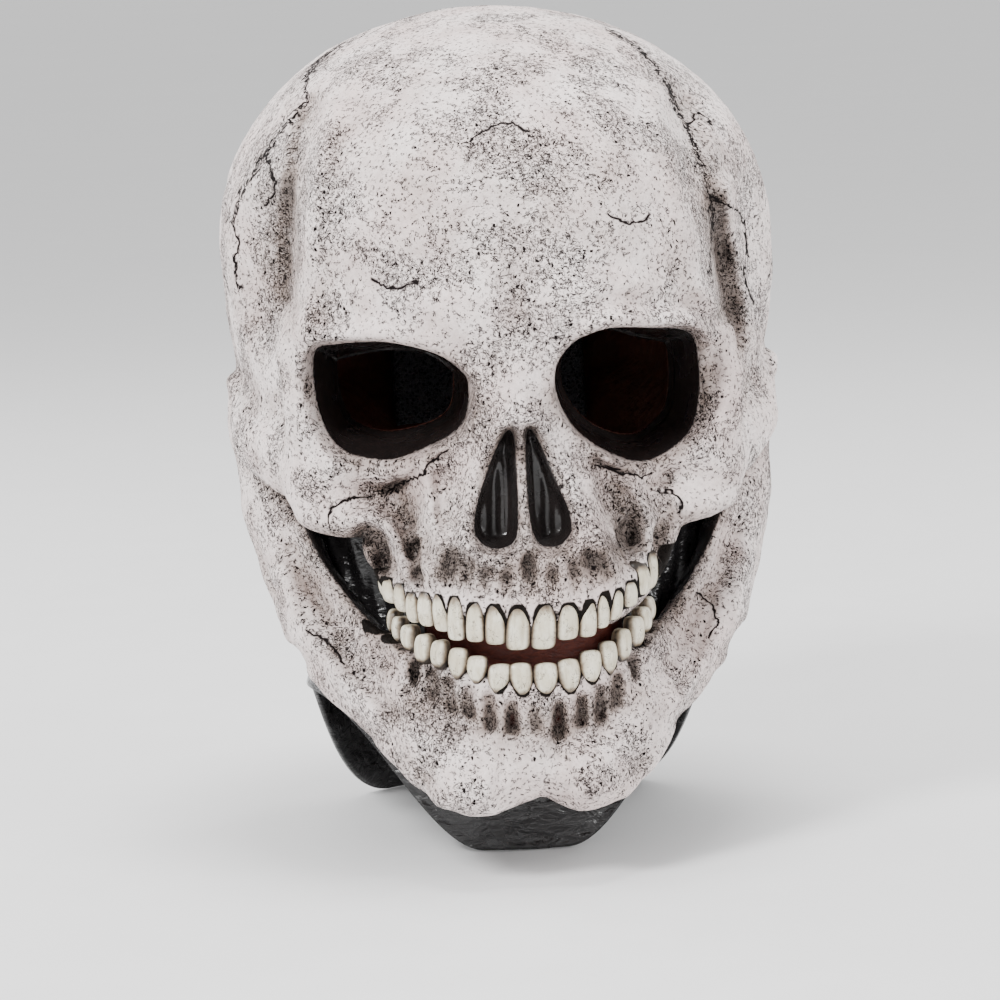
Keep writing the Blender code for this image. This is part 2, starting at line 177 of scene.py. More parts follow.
def curve(points, closed=False, per=4):
    """Points of a smooth curve through points, with per steps between each two."""
    points = np.array(points, float)
    count = len(points)
    out = []
    for i in range(count if closed else count - 1):
        if closed:
            a, b, c, d = [points[(i + k) % count] for k in (-1, 0, 1, 2)]
        else:
            a, b, c, d = [points[min(max(i + k, 0), count - 1)] for k in (-1, 0, 1, 2)]
        for u in np.arange(per) / per:
            out.append(0.5 * (2 * b + (c - a) * u + (2 * a - 5 * b + 4 * c - d) * u * u
                              + (3 * b - a - 3 * c + d) * u ** 3))
    return np.array(out if closed else out + [points[-1]], F32)


def outline(p, points, reach=16.0):
    """Signed distance from (x, z) to a smooth closed outline, negative inside it, as far as reach."""
    line = curve(points, closed=True)
    result = np.full(len(p), reach, F32)
    q = p[:, (0, 2)]
    near = np.flatnonzero(((q > line.min(0) - reach) & (q < line.max(0) + reach)).all(1))
    q = q[near]
    gap = np.full(len(q), 1e9, F32)
    inside = np.zeros(len(q), bool)
    for a, b in zip(line, np.roll(line, -1, 0)):
        d = b - a
        t = np.clip(((q - a) @ d) / (d @ d), 0, 1)
        e = q - a - t[:, None] * d
        gap = np.minimum(gap, (e * e).sum(1))
        crosses = (a[1] > q[:, 1]) != (b[1] > q[:, 1])
        inside ^= crosses & (q[:, 0] < (b[0] - a[0]) * (q[:, 1] - a[1]) / (b[1] - a[1] + 1e-9) + a[0])
    result[near] = np.minimum(np.where(inside, -1, 1) * np.sqrt(gap), reach)
    return result


def noise_at(p, size, seed, octaves=1):
    """Smooth noise about 0 with lumps about size across, each octave half the size and height of the last."""
    table = np.random.default_rng(seed).standard_normal((32, 32, 32)).astype(F32)
    total = np.zeros(len(p), F32)
    for octave in range(octaves):
        q = p * (2.0 ** octave / size) + 100.0 + 17.3 * octave
        i = np.floor(q).astype(np.int64)
        u = (q - i).astype(F32)
        u = u * u * (3 - 2 * u)
        for corner in range(8):
            o = np.array([corner & 1, corner >> 1 & 1, corner >> 2 & 1])
            j = (i + o) % 32
            total += 0.5 ** octave * np.where(o, u, 1 - u).prod(1) * table[j[:, 0], j[:, 1], j[:, 2]]
    return total


class Clay:
    """A field being shaped at points p: masses and hollows first, then brush strokes."""

    def __init__(self, p):
        self.p = p
        self.f = np.full(len(p), 1e3, F32)
        self.both = p * np.array([1, 1, 1], F32)
        self.both[:, 0] = np.abs(p[:, 0])

    def seen_from(self, side):
        """The points for shapes drawn at +X: 0 puts them on both sides, 1 or -1 on the wearer's left or right."""
        return self.both if side == 0 else self.p * np.array([side, 1, 1], F32)

    def add(self, shape, k):
        self.f = smooth_min(self.f, shape, k)

    def cut(self, shape, k):
        self.f = smooth_max(self.f, -shape, k)

    def stroke(self, height, width, points, side=0):
        """Raises the surface by height within about width of a polyline, fading as a bell curve.

        Points of two numbers are (x, z) as seen from the front, and reach the front of the face only.
        """
        q = self.seen_from(side)
        line = np.array(points, F32)
        seen = (0, 2) if line.shape[1] == 2 else (0, 1, 2)
        reach = 3.0 * width
        near = ((q[:, seen] > line.min(0) - reach) & (q[:, seen] < line.max(0) + reach)).all(1)
        if line.shape[1] == 2:
            near &= q[:, 1] < FACE_Y
        near = np.flatnonzero(near)
        if len(near):
            d, _ = to_line(q[near][:, seen], line)
            bell = height * np.exp(-0.5 * (d / width) ** 2)
            if line.shape[1] == 2:
                bell *= ramp(FACE_Y, FACE_Y - 14, q[near, 1])
            self.f[near] -= bell


def arch_point(degrees, inset=0.0, z=0.0):
    a = radians(degrees)
    return ((ARCH[0] - inset) * sin(a), ARCH_Y - (ARCH[1] - inset) * cos(a), z)


def gum_line(inset, z, climb, span, step=12):
    """Points round the dental arch, climbing towards the molars."""
    low = ARCH_Y - ARCH[1]
    return [arch_point(a, inset, z + climb * (arch_point(a)[1] - low)) for a in range(-span, span + 1, step)]


# ---- the masses of the casting ----

def skull_masses(p):
    c = Clay(p)
    m = c.both
    c.f = egg(p, (0, 0, 198), (92, 112, 128), (92, 114.5, 78))
    # the temples are hollowed behind the edge of the forehead
    c.cut(egg(c.seen_from(-1), (100, -64, 200), (31, 37, 60)), 3)
    c.cut(egg(c.seen_from(1), (100, -60, 196), (28, 38, 58)), 9)
    # the block of the face and the brow
    c.add(egg(p, (0, -45, 161), (67, 64, 40), (66, 58, 32)), 8)
    c.add(strap(m, [(6, -103, 183), (26, -101, 182), (45, -93, 183), (62, -79, 180), (69, -70, 170)],
                [8, 9, 8, 6, 5]), 8)
    c.add(strap(m, [(69, -70, 172), (68, -70, 158), (66, -71, 146)], [5, 5, 7]), 6)
    c.add(strap(p, [(0.5, -101, 174), (0.3, -102, 164), (0, -105, 150)], [8, 6.5, 7]), 7)
    # cheekbones and arches
    c.add(egg(m, (59, -66, 129), (15, 14, 17), turn=(0, 0, -25)), 7)
    c.add(strap(m, [(64, -64, 131), (74, -50, 134), (82, -30, 139), (84, -6, 143)], [9, 7.5, 8, 8],
                (1, 1, 0.66)), 7)
    # the ears: a knob, a ring and the pit inside it
    c.add(egg(m, (88, -1, 139), (4, 6, 6)), 3)
    ring = [(87 + 2.5 * sin(a), -9 + 6 * cos(a), 146 + 9 * sin(a)) for a in np.linspace(0, 2 * pi, 9)]
    c.add(strap(m, ring, [2.6]), 3)
    c.cut(egg(m, (91, -11, 146), (8, 4.5, 6.5)), 2)
    # nothing of the skull's base shows under the cheeks, and the neck takes over behind them
    uncut = c.f
    waves = np.stack([0 * p[:, 0], 0 * p[:, 0], 1.5 * np.sin(p[:, 1] / 13.0)], 1)
    c.cut(box(p, (0, -70, 60), (72, 76, 50.5)), 4)
    c.cut(box(p + waves, (0, 40, 40), (120, 90, 60)), 3)
    # maxilla and upper gum
    for shape, k in ((egg(p, (0, -64, 114), (43, 44, 26), (43, 40, 44)), 8),
                     (strap(m, [(42, -76, 104), (47, -72, 114), (54, -70, 120)], [5, 6, 8]), 6),
                     (strap(p, gum_line(3.8, 91, 0.25, 84), [4.5], (1, 1, 0.45)), 11)):
        c.add(shape, k)
        uncut = smooth_min(uncut, shape, k)
    return c, uncut


def jaw_masses(p):
    c = Clay(p)
    m = c.both
    c.f = egg(p, (0, -94.5, 43), (28, 16, 18), (28, 17, 18))
    c.add(egg(m, (17, -99, 34), (13, 10.5, 9.5)), 6)
    c.add(strap(m, [(16, -95, 45), (32, -88, 49), (49, -68, 61), (63, -46, 72)], [12, 10, 9.5, 9],
                (1, 1, 0.66)), 8)
    ramus = [(66, -42, 74), (72, -33, 92), (77, -24, 112), (80, -15, 132)]
    c.add(strap(m, ramus, [7.5, 7.5, 7.5, 6.5], (1, 0.40, 1), (0, 0, -30)), 7)
    c.add(strap(p, gum_line(5.8, 60, 0.25, 80, 10), [4.3], (1, 1, 0.43)), 6)
    return c


# ---- its hollows ----

def socket(p, side):
    """An eye socket's rim seen from the front, its hollow, which narrows backwards, and the depth behind the rim."""
    depth = p[:, 1] + 99 - 0.48 * np.clip(np.abs(p[:, 0]) - 15, 0, 60)
    rim = outline(p, SOCKET_LEFT if side > 0 else SOCKET_RIGHT)
    taper = 0.10 + 0.20 * ramp(24, 60, np.abs(p[:, 0]))
    return rim, rim + taper * np.clip(depth, -6, 24), depth


def nose_pit(p, points):
    depth = p[:, 1] + 106
    folds = 0.8 * np.sin(1.1 * p[:, 0] + 0.12 * p[:, 2] + 1.3 * np.sin(0.13 * p[:, 2]))
    return smooth_max(outline(p, points) + 0.28 * np.clip(depth, -8, 20), depth - 10 + folds, 2)


# ---- brush strokes: height, width, points ----

def strokes_skull(c):
    s = c.stroke
    # the forehead and the brow
    s(2.4, 16, [(30, 226)])
    s(-1.4, 9, [(0, 212)])
    s(2.6, 6, [(14, 189), (34, 190)])
    s(-2.0, 4.5, [(0, 194), (0, 184)])
    for x in (-7, -2.5, 3.5, 8):
        s(1.5, 1.4, [(x * 1.1, 200), (x * 0.8, 187)], 1)
    s(2.0, 2.0, [(65, 172), (61, 176.5), (52, 178), (41, 178.5), (28, 175.5), (20, 170)], -1)
    s(-1.8, 2.6, [(60, 183), (45, 185.5), (30, 183)], -1)
    s(3.4, 2.0, [(22, 178), (29, 181.5), (43, 179.5), (56, 177.5), (62.5, 172)], 1)
    s(-2.6, 2.4, [(28, 187), (42, 186), (56, 183.5), (66, 176)], 1)
    # the temples: a sharp edge on the wearer's right, a soft valley on the left
    s(3.4, 2.6, [(54, 246), (58.5, 238), (62, 222), (63.5, 205), (65, 192), (67, 178)], -1)
    s(-3.6, 2.8, [(60, 247), (65, 232), (67.5, 215), (68.5, 200), (70, 186)], -1)
    s(2.0, 4, [(79, 222), (82, 200)], -1)
    s(2.8, 3.2, [(50, 244), (53, 228), (55, 209), (58, 195), (64, 181)], 1)
    s(-4.8, 5.6, [(58, 240), (62, 220), (65.5, 200), (69, 184), (73, 171)], 1)
    s(3.0, 3.0, [(73, 216), (76, 198), (79, 182), (80, 166)], 1)
    # round the sockets
    s(2.4, 2.4, [(68, 170), (69, 158), (67, 146), (60, 137)])
    s(1.6, 2.2, [(58, 134), (45, 130), (33, 134), (22, 141), (15, 150)])
    # the nose
    s(1.6, 3.0, [(0, 168), (0, 153)])
    s(2.4, 1.9, [(3, 151), (8, 147), (13.5, 136), (18.0, 122), (19.0, 113), (14.5, 106.5), (6, 105)])
    s(-3.2, 3.0, [(14, 153), (20, 143), (24, 131), (25, 120)])
    # the cheeks: pillars and hollows down to the teeth
    s(3.4, 1.8, [(53, 118), (47, 118.5), (42.5, 115), (39.5, 108), (38, 101)], -1)
    s(-4.2, 2.6, [(49, 113), (44.5, 109), (43, 102)], -1)
    s(-4.0, 4.0, [(37, 127), (34.5, 120), (33, 111)], -1)
    s(2.6, 1.7, [(29.5, 133), (28.5, 122), (27.5, 112), (28, 102)], -1)
    s(2.8, 1.8, [(21.6, 130), (22.5, 121), (24, 112), (29, 101)], 1)
    s(-4.0, 3.8, [(29, 125), (31, 115), (35, 107)], 1)
    s(2.4, 1.8, [(34, 128), (39, 120), (42, 113), (39, 104)], 1)
    s(-3.0, 2.2, [(48, 116), (45, 109), (44, 102)], 1)
    s(2.8, 2.4, [(49, 115.5), (58, 114.5), (68, 117)])
    s(-2.2, 3.4, [(50, 126), (62, 126)])
    s(2.4, 6, [(60, 135)])
    s(-1.7, 1.1, [(42, 126), (36, 129), (32, 134), (24, 139)], -1)
    s(1.6, 1.4, [(30, 121), (33, 112), (31.5, 104)], -1)
    s(-1.6, 1.1, [(24, 134), (29, 131), (35, 129)], 1)
    s(1.6, 1.4, [(44, 123), (51, 120), (52, 116)], 1)
    # the back of the head
    s(4, 22, [(0, 112, 168)])
    s(2.5, 30, [(58, 40, 232)])
    s(-2.4, 9, [(0, 100, 136), (40, 84, 130), (66, 50, 132)])
    s(2.2, 5, [(0, 108, 148), (30, 100, 146), (56, 78, 146)])


def root_line(degrees, inset, start, end, back):
    """A line along a root: (x, z) as seen from the front on the front teeth, (x, y, z) on those further round."""
    ends = [arch_point(degrees, inset, start), arch_point(degrees, inset + back, end)]
    return [(x, z) for x, _, z in ends] if abs(degrees) < FRONT_TEETH else ends


def root_hollows(teeth, inset, up, fade, back):
    """The line of the hollow between each two roots, just beyond the gum."""
    lines = []
    for (a, gum, _), (b, next_gum, _) in zip(teeth, teeth[1:]):
        middle, level = (a + b) / 2, (gum + next_gum) / 2
        reach = up * fade * (0.86 - 0.2 * abs(a) / 90 + 0.12 * sin(7.0 * a))
        lines.append(root_line(middle, inset, level + 3.8 * up, level + reach, back))
    return lines


def strokes_teeth_roots(c, teeth, inset, up, fade, back):
    """The ridge of each root beyond its gum, and the hollows between roots. up is 1 for the upper teeth, else -1."""
    for (a, gum, _), line in zip(teeth, root_hollows(teeth, inset, up, fade, back)):
        c.stroke(1.2, 1.6, root_line(a, inset, gum + 3 * up, gum + up * fade, back), 1)
        c.stroke(-ROOT_HOLLOWS[up] if len(line[0]) == 2 else -3.2, 1.8, line, 1)


# Along a crown from its root to its edge: how wide and how thick it is there, and how far it leans out in mm.
UPPER_INCISOR = ((0.0, 0.22, 0.55, -0.6), (0.10, 0.52, 0.75, 0.0), (0.22, 0.82, 0.92, 0.3), (0.38, 1.0, 1.0, 0.5),
                 (0.62, 1.08, 0.90, 0.6), (0.82, 1.06, 0.68, 0.4), (0.96, 0.98, 0.45, 0.1))
LOWER_INCISOR = ((0.0, 0.12, 0.55, -0.6), (0.14, 0.42, 0.75, 0.0), (0.30, 0.78, 0.92, 0.3), (0.48, 1.02, 1.0, 0.5),
                 (0.68, 1.10, 0.90, 0.6), (0.86, 1.04, 0.68, 0.4), (0.97, 0.90, 0.45, 0.1))
MOLAR = ((0.0, 0.50, 0.60, -0.8), (0.12, 0.78, 0.85, 0.0), (0.30, 1.02, 1.05, 0.4), (0.55, 1.10, 1.10, 0.5),
         (0.80, 1.06, 1.00, 0.3), (0.95, 0.88, 0.76, -0.1))
MOLARS_FROM = 42      # degrees round the arch
ROOT = 1.5            # how far a crown goes on into the gum, mm


def crown(teeth, i):
    """The ith tooth's angle, width in degrees, root height, edge height and profile."""
    a, gum, edge = teeth[i]
    left = teeth[i - 1][0] if i else 2 * a - teeth[1][0]
    right = teeth[i + 1][0] if i + 1 < len(teeth) else 2 * a - teeth[-2][0]
    root = gum + (ROOT if gum > edge else -ROOT)
    incisor = UPPER_INCISOR if gum > edge else LOWER_INCISOR
    return a, (right - left) / 2, root, edge, MOLAR if abs(a) > MOLARS_FROM else incisor


def crown_gap(p, teeth):
    """Distance from each point to the nearest crown's outline as seen from outside the arch, up to 4 mm."""
    gap = np.full(len(p), 4.0, F32)
    radius = np.hypot(p[:, 0], p[:, 1] - ARCH_Y)
    bearing = np.degrees(np.arctan2(p[:, 0] / ARCH[0], (ARCH_Y - p[:, 1]) / ARCH[1]))
    for i in range(len(teeth)):
        a, width, root, edge, profile = crown(teeth, i)
        u = np.radians(bearing - a) * radius
        t = (p[:, 2] - root) / (edge - root)
        half = 0.5 * radians(width) * radius * np.interp(t, [row[0] for row in profile], [row[1] for row in profile])
        beyond = np.maximum(0.10 - t, t - 1) * abs(edge - root)
        gap = np.minimum(gap, np.maximum(np.abs(u) - 0.95 * half, beyond) * np.where(radius > 30, 1, 9))
    return gap


def strokes_jaw(c):
    s = c.stroke
    # the chin
    s(1.8, 2.2, [(1, 58), (1, 46), (1, 37)], 1)
    s(-1.8, 2.6, [(3, 26)], 1)
    s(-3.2, 3.4, [(10, 47), (22, 49)])
    s(3.0, 6, [(16, 34)])
    s(-1.6, 1.6, [(9, 42), (12, 34), (10, 28)])
    # the edge of the ramus and the folds outside it
    s(2.6, 2.2, [(69, 110), (62, 96), (53, 85), (45, 77.5), (38, 71)])
    s(-2.4, 2.2, [(73, 102), (66, 88), (57, 76), (47, 65)])
    s(2.2, 2.4, [(77, 94), (71, 78), (61, 66), (49, 54)])
    s(-1.8, 2.6, [(72, 68), (62, 58), (50, 46)])
    s(2.2, 2.8, [(66, 61), (56, 51), (43, 37), (31, 27)])
    s(-1.8, 1.3, [(60, 72), (50, 62), (42, 54)], -1)
    s(1.6, 1.4, [(52, 74), (45, 65), (38, 58)], -1)
    s(-1.6, 1.3, [(64, 80), (56, 66), (50, 58)], 1)
    s(-2.0, 3.0, [(80, -22, 104), (77, -30, 88)])


def casting_parts(p):
    """The fields of the outside of the skull, the outside of the jaw, and the hollow behind both."""
    c, uncut = skull_masses(p)
    hidden = uncut - c.f
    strokes_skull(c)
    strokes_teeth_roots(c, UPPER, *UPPER_ROOTS)
    j = jaw_masses(p)
    strokes_jaw(j)
    strokes_teeth_roots(j, LOWER, *LOWER_ROOTS)
    rough = 0.55 * noise_at(p, 26.0, 3) + 0.22 * noise_at(p, 8.0, 5, 2)
    skull, jaw = c.f - rough, j.f - rough
    behind = smooth_min(skull + hidden, jaw, 4)
    for side in (-1, 1):
        _, funnel, depth = socket(p, side)
        hollow = smooth_max(funnel, depth - 30, 6)
        skull, behind = smooth_max(skull, -hollow, 2.6), smooth_max(behind, -hollow, 2.6)
    for points in (NOSE_RIGHT, NOSE_LEFT):
        hollow = nose_pit(p, points)
        skull, behind = smooth_max(skull, -hollow, 1.4), smooth_max(behind, -hollow, 1.4)
    return skull, jaw, behind + WALL


def openings(p):
    """Where the casting is open to the wearer's head: the eye holes, the mouth and the back of the chin."""
    f = smooth_min(egg(p, (0, -30, 70), (58, 46, 60), (58, 70, 45)), egg(p, (0, -78, 43), (25, 19, 14)), 6)
    for side in (-1, 1):
        _, funnel, depth = socket(p, side)
        f = np.minimum(f, smooth_max(funnel + 1.8, np.maximum(18 - depth, depth - 48), 2))
    return f


def casting(p):
    skull, jaw, hollow = casting_parts(p)
    f = smooth_max(smooth_min(skull, jaw, 4), -hollow, 0.6)
    return smooth_max(f, -openings(p), 1.2)


# ---- meshes from fields ----

def evaluate(field, points, chunk=300000):
    out = np.empty(len(points), F32)
    for i in range(0, len(points), chunk):
        out[i:i + chunk] = field(points[i:i + chunk].astype(F32))
    return out


def spaced(*runs):
    """Grid lines from runs of (start, end, spacing)."""
    parts = [np.linspace(a, b, max(1, round((b - a) / gap)), endpoint=False) for a, b, gap in runs]
    return np.concatenate(parts + [[runs[-1][1]]])


def grid_mesh(field, lines):
    """The mesh where field is zero, by surface nets on a grid whose lines may be unevenly spaced.

    The field is worked out on every fourth line first, then on every second, then on every line, each time only
    in the cells that may hold the surface.
    """
    axes = []
    for a in lines:
        more = np.arange(1, (1 - len(a)) % 4 + 1) * (a[-1] - a[-2])
        axes.append(np.concatenate([a, a[-1] + more]).astype(F32))
    n = [len(a) for a in axes]
    fine, need = np.full(n, np.nan, F32), np.ones(n, bool)
    for step, spare in ((4, 3.0), (2, 1.5), (1, 0)):
        every = (slice(None, None, step),) * 3
        wanted = np.argwhere(need[every] & np.isnan(fine[every])) * step
        places = tuple(wanted.T)
        fine[places] = evaluate(field, np.stack([a[i] for a, i in zip(axes, places)], -1))
        if step == 1:
            return nets(fine, axes)
        f = fine[every]
        gx, gy, gz = (np.diff(a[::step]) for a in axes)
        reach = 0.75 * np.sqrt(gx[:, None, None] ** 2 + gy[:, None] ** 2 + gz ** 2) + spare
        corners = [f[tuple(slice(o, m - 1 + o) for o, m in zip(c, f.shape))] for c in np.ndindex(2, 2, 2)]
        low, high = np.minimum.reduce(corners), np.maximum.reduce(corners)
        need[:] = False
        half = step // 2
        for cell in np.argwhere((low < reach) & (high > -reach)) * step:
            need[tuple(slice(c, c + step + 1, half) for c in cell)] = True


def nets(f, axes):
    """Surface nets: one vertex in each cell that the surface crosses, one quad for each edge that it crosses."""
    n = f.shape
    corners = list(np.ndindex(2, 2, 2))
    cut = {c: f[tuple(slice(o, m - 1 + o) for o, m in zip(c, n))] for c in corners}
    inside = sum((cut[c] < 0).astype(np.int8) for c in corners)
    known = ~sum(np.isnan(cut[c]) for c in corners).astype(bool)
    cells = np.argwhere((inside > 0) & (inside < 8) & known)
    number = np.full([m - 1 for m in n], -1, np.int64)
    number[tuple(cells.T)] = np.arange(len(cells))
    total, count = np.zeros((len(cells), 3)), np.zeros(len(cells))
    for a in corners:
        for axis in (m for m in range(3) if not a[m]):
            b = tuple(1 if m == axis else a[m] for m in range(3))
            fa, fb = cut[a][tuple(cells.T)], cut[b][tuple(cells.T)]
            hit = (fa < 0) != (fb < 0)
            t = np.where(hit, fa / np.where(hit, fa - fb, 1), 0)
            for m in range(3):
                start, end = axes[m][cells[:, m] + a[m]], axes[m][cells[:, m] + b[m]]
                total[:, m] += np.where(hit, start + t * (end - start), 0)
            count += hit
    quads = []
    for axis in range(3):
        u, v = [m for m in range(3) if m != axis]
        low = tuple(slice(0, n[m] - (m == axis)) for m in range(3))
        high = tuple(slice(int(m == axis), n[m]) for m in range(3))
        fa, fb = f[low], f[high]
        edges = np.argwhere(((fa < 0) != (fb < 0)) & ~np.isnan(fa) & ~np.isnan(fb))
        edges = edges[(edges[:, u] > 0) & (edges[:, v] > 0) & (edges[:, u] < n[u] - 1) & (edges[:, v] < n[v] - 1)]
        around = []
        for du, dv in ((-1, -1), (0, -1), (0, 0), (-1, 0)):
            cell = edges.copy()
            cell[:, u] += du
            cell[:, v] += dv
            around.append(number[tuple(cell.T)])
        quad = np.stack(around, 1)
        turned = (fa[tuple(edges.T)] < 0) == (axis == 1)
        quad[turned] = quad[turned][:, ::-1]
        quads.append(quad[(quad >= 0).all(1)])
    return total / count[:, None], np.concatenate(quads)


def settle(field, points, most=0.6, step=0.3):
    """Moves points onto the field's zero surface, and gives the normals there."""
    f = evaluate(field, points)
    g = np.stack([(evaluate(field, points + step * along) - f) / step for along in np.eye(3)], -1)
    move = -(f / np.maximum((g * g).sum(1), 1e-2))[:, None] * g
    far = np.sqrt((move * move).sum(1))
    points = points + move * np.minimum(1.0, most / np.maximum(far, 1e-9))[:, None]
    return points, g / np.maximum(np.sqrt((g * g).sum(1)), 1e-6)[:, None]


# ---- Blender objects ----

def new_object(name, points, faces, material, smooth=True, normals=None, **marks):
    """An object from points in millimetres. Each mark is a number for each point, which its material reads."""
    mesh = bpy.data.meshes.new(name)
    points = np.asarray(points, float)
    mesh.from_pydata((points * MM).tolist(), [], faces.tolist() if hasattr(faces, "tolist") else faces)
    rest = mesh.attributes.new("rest", "FLOAT_VECTOR", "POINT")
    rest.data.foreach_set("vector", points.astype(F32).ravel())
    for mark, values in marks.items():
        mesh.attributes.new(mark, "FLOAT", "POINT").data.foreach_set("value", np.asarray(values, F32))
    if smooth:
        mesh.shade_smooth()
    if normals is not None:
        mesh.normals_split_custom_set_from_vertices(normals.tolist())
    mesh.materials.append(material)
    obj = bpy.data.objects.new(name, mesh)
    bpy.context.scene.collection.objects.link(obj)
    return obj


def part_of(faces, chosen):
    """The points that the chosen faces use, and those faces over these points."""
    faces = faces[chosen]
    used, index = np.unique(faces, return_inverse=True)
    return used, index.reshape(faces.shape)


def add_modifier(obj, kind, **settings):
    modifier = obj.modifiers.new(kind.title(), kind)
    for name, value in settings.items():
        setattr(modifier, name, value)
    return modifier


def grid_faces(rows, columns, closed=False):
    """Quads over a grid of points stored row by row; closed joins the last column to the first."""
    faces = []
    for i in range(rows - 1):
        for j in range(columns if closed else columns - 1):
            k = (j + 1) % columns
            faces.append((i * columns + j, i * columns + k, (i + 1) * columns + k, (i + 1) * columns + j))
    return faces


# ---- paint: how far each point of the casting takes each colour ----

# Sutures and cracks: lines of (x, z) run where they would as seen from the front, lines of (x, y, z) anywhere.
SUTURES = (
    [(-40, 270), (-52, 264), (-61, 256), (-62, 249), (-69, 242), (-76, 232), (-83, 222), (-88, 210)],
    [(38, 268), (47, 262), (53, 254), (58, 242), (63, 230), (66, 215), (67, 203), (64, 190)],
    [(-40, -8, 269), (-20, 4, 274), (0, 8, 276), (20, 4, 274), (38, -12, 268)],
    [(0, 8, 276), (-2, 40, 270), (2, 74, 252), (0, 96, 226)],
    [(0, 96, 226), (26, 92, 212), (50, 80, 190), (66, 64, 168), (74, 48, 150)],
    [(0, 96, 226), (-26, 92, 212), (-50, 80, 190), (-66, 64, 168), (-74, 48, 150)],
    [(92, -26, 182), (90, 4, 200), (84, 34, 196), (76, 52, 172), (72, 50, 152)],
    [(-92, -20, 186), (-90, 4, 200), (-84, 34, 196), (-76, 52, 172), (-72, 50, 152)],
)
CRACKS = (
    [(-76, 232), (-73, 224), (-77, 216)],
    [(-88, 210), (-85, 203), (-88, 196), (-86, 188)],
    [(66, 215), (72, 211), (79, 206), (81, 196), (79, 186), (82, 176)],
    [(60, 236), (66, 240), (70, 236)],
    [(-42, 125), (-36, 129), (-31, 133), (-23, 141)],
    [(-61, 114), (-61, 119), (-57, 123), (-46, 124)],
    [(24, 133), (29, 131.5), (35, 129), (43, 127)],
    [(44, 122), (50, 121), (52.5, 118), (51, 114.5)],
    [(-12, 238), (-2, 242), (8, 240)],
    [(-45, 196), (-38, 193), (-30, 195)],
    [(30, 214), (38, 210), (44, 212)],
    [(-70, 78), (-62, 74), (-58, 68)],
    [(58, 84), (64, 78), (62, 70)],
    [(30, 80, 226), (44, 74, 214), (46, 84, 200)],
    [(-40, 60, 236), (-54, 56, 226), (-52, 66, 212)],
)


# Brown washes rubbed on, and painted shade, as seen from the front: how much, how wide, and the (x, z) it runs along.
SHADE_AND_WASH_STROKES = (
    (0.28, 4.5, [(-65, 246), (-67, 232), (-69, 215), (-70, 200), (-71, 184)]),
    (0.26, 8.0, [(-76, 226), (-79, 200), (-78, 176)]),
    (0.28, 6.5, [(57, 243), (61, 222), (65, 203), (69, 186), (74, 171)]),
    (0.28, 7.0, [(-34, 226), (-14, 234), (8, 232), (30, 226)]),
    (0.26, 8.0, [(-20, 212), (10, 214), (36, 206)]),
    (0.32, 4.0, [(-2, 200), (0, 184)]),
    (0.30, 3.5, [(-12, 156), (-11, 148)]),
    (0.30, 3.5, [(10, 158), (10, 150)]),
    (0.34, 4.0, [(-36, 127), (-33, 116), (-31, 106)]),
    (0.34, 4.0, [(30, 124), (32, 114), (35, 107)]),
    (0.40, 3.0, [(-48, 113), (-44, 108), (-43, 102)]),
    (0.26, 5.0, [(-72, 100), (-66, 84), (-58, 70)]),
    (0.30, 5.0, [(-44, 66), (-36, 56)]),
    (0.28, 5.0, [(44, 66), (36, 56)]),
    (0.24, 6.0, [(-10, 48), (10, 48)]),
    (0.26, 4.0, [(-34, 108), (-18, 104), (0, 102), (18, 104), (32, 107)]),
    (0.34, 4.5, [(-34, 60), (-16, 54), (0, 52), (18, 54), (32, 59)]),
)


def crack_marks(p, normals, lines, reach=6.0):
    """Signed distance across the nearest line, and a mask that is 1 along the lines and 0 away from them."""
    across, mask = np.full(len(p), reach, F32), np.zeros(len(p), F32)
    best = np.full(len(p), 1e9, F32)
    front = np.array([0, -1, 0], F32)
    for points in lines:
        line = curve(points, per=3)
        flat = line.shape[1] == 2
        seen = (0, 2) if flat else (0, 1, 2)
        near = ((p[:, seen] > line.min(0) - 14) & (p[:, seen] < line.max(0) + 14)).all(1)
        if flat:
            near &= p[:, 1] < 4
            line = np.stack([line[:, 0], 0 * line[:, 0], line[:, 1]], 1)
        near = np.flatnonzero(near)
        q, n = p[near].astype(F32), normals[near]
        if flat:
            q, n = q * np.array([1, 0, 1], F32), np.broadcast_to(front, n.shape)
        for i, (a, b) in enumerate(zip(line, line[1:])):
            d = b - a
            t = (q - a) @ d / (d @ d)
            e = q - a - np.clip(t, 0, 1)[:, None] * d
            e -= (e * n).sum(1)[:, None] * n
            gap = np.sqrt((e * e).sum(1))
            side = np.sign((np.cross(n, d) * (q - a)).sum(1))
            closer = gap < best[near]
            spots = near[closer]
            best[spots] = gap[closer]
            across[spots] = (side * np.minimum(gap, reach))[closer]
            ended = ((t < -0.05) & (i == 0)) | ((t > 1.05) & (i == len(line) - 2))
            mask[spots] = np.where(ended, 0, 1)[closer]
    return across, mask * ramp(4.5, 2.5, best)


def spread(values, faces, rounds):
    """Values at points, each averaged with its neighbours some rounds over."""
    ends = np.concatenate([faces[:, (i, (i + 1) % 4)] for i in range(4)])
    count = np.bincount(ends[:, 0], minlength=len(values)) + 1e-9
    for _ in range(rounds):
        around = np.bincount(ends[:, 0], weights=values[ends[:, 1]], minlength=len(values)) / count
        values = 0.4 * values + 0.6 * around
    return values


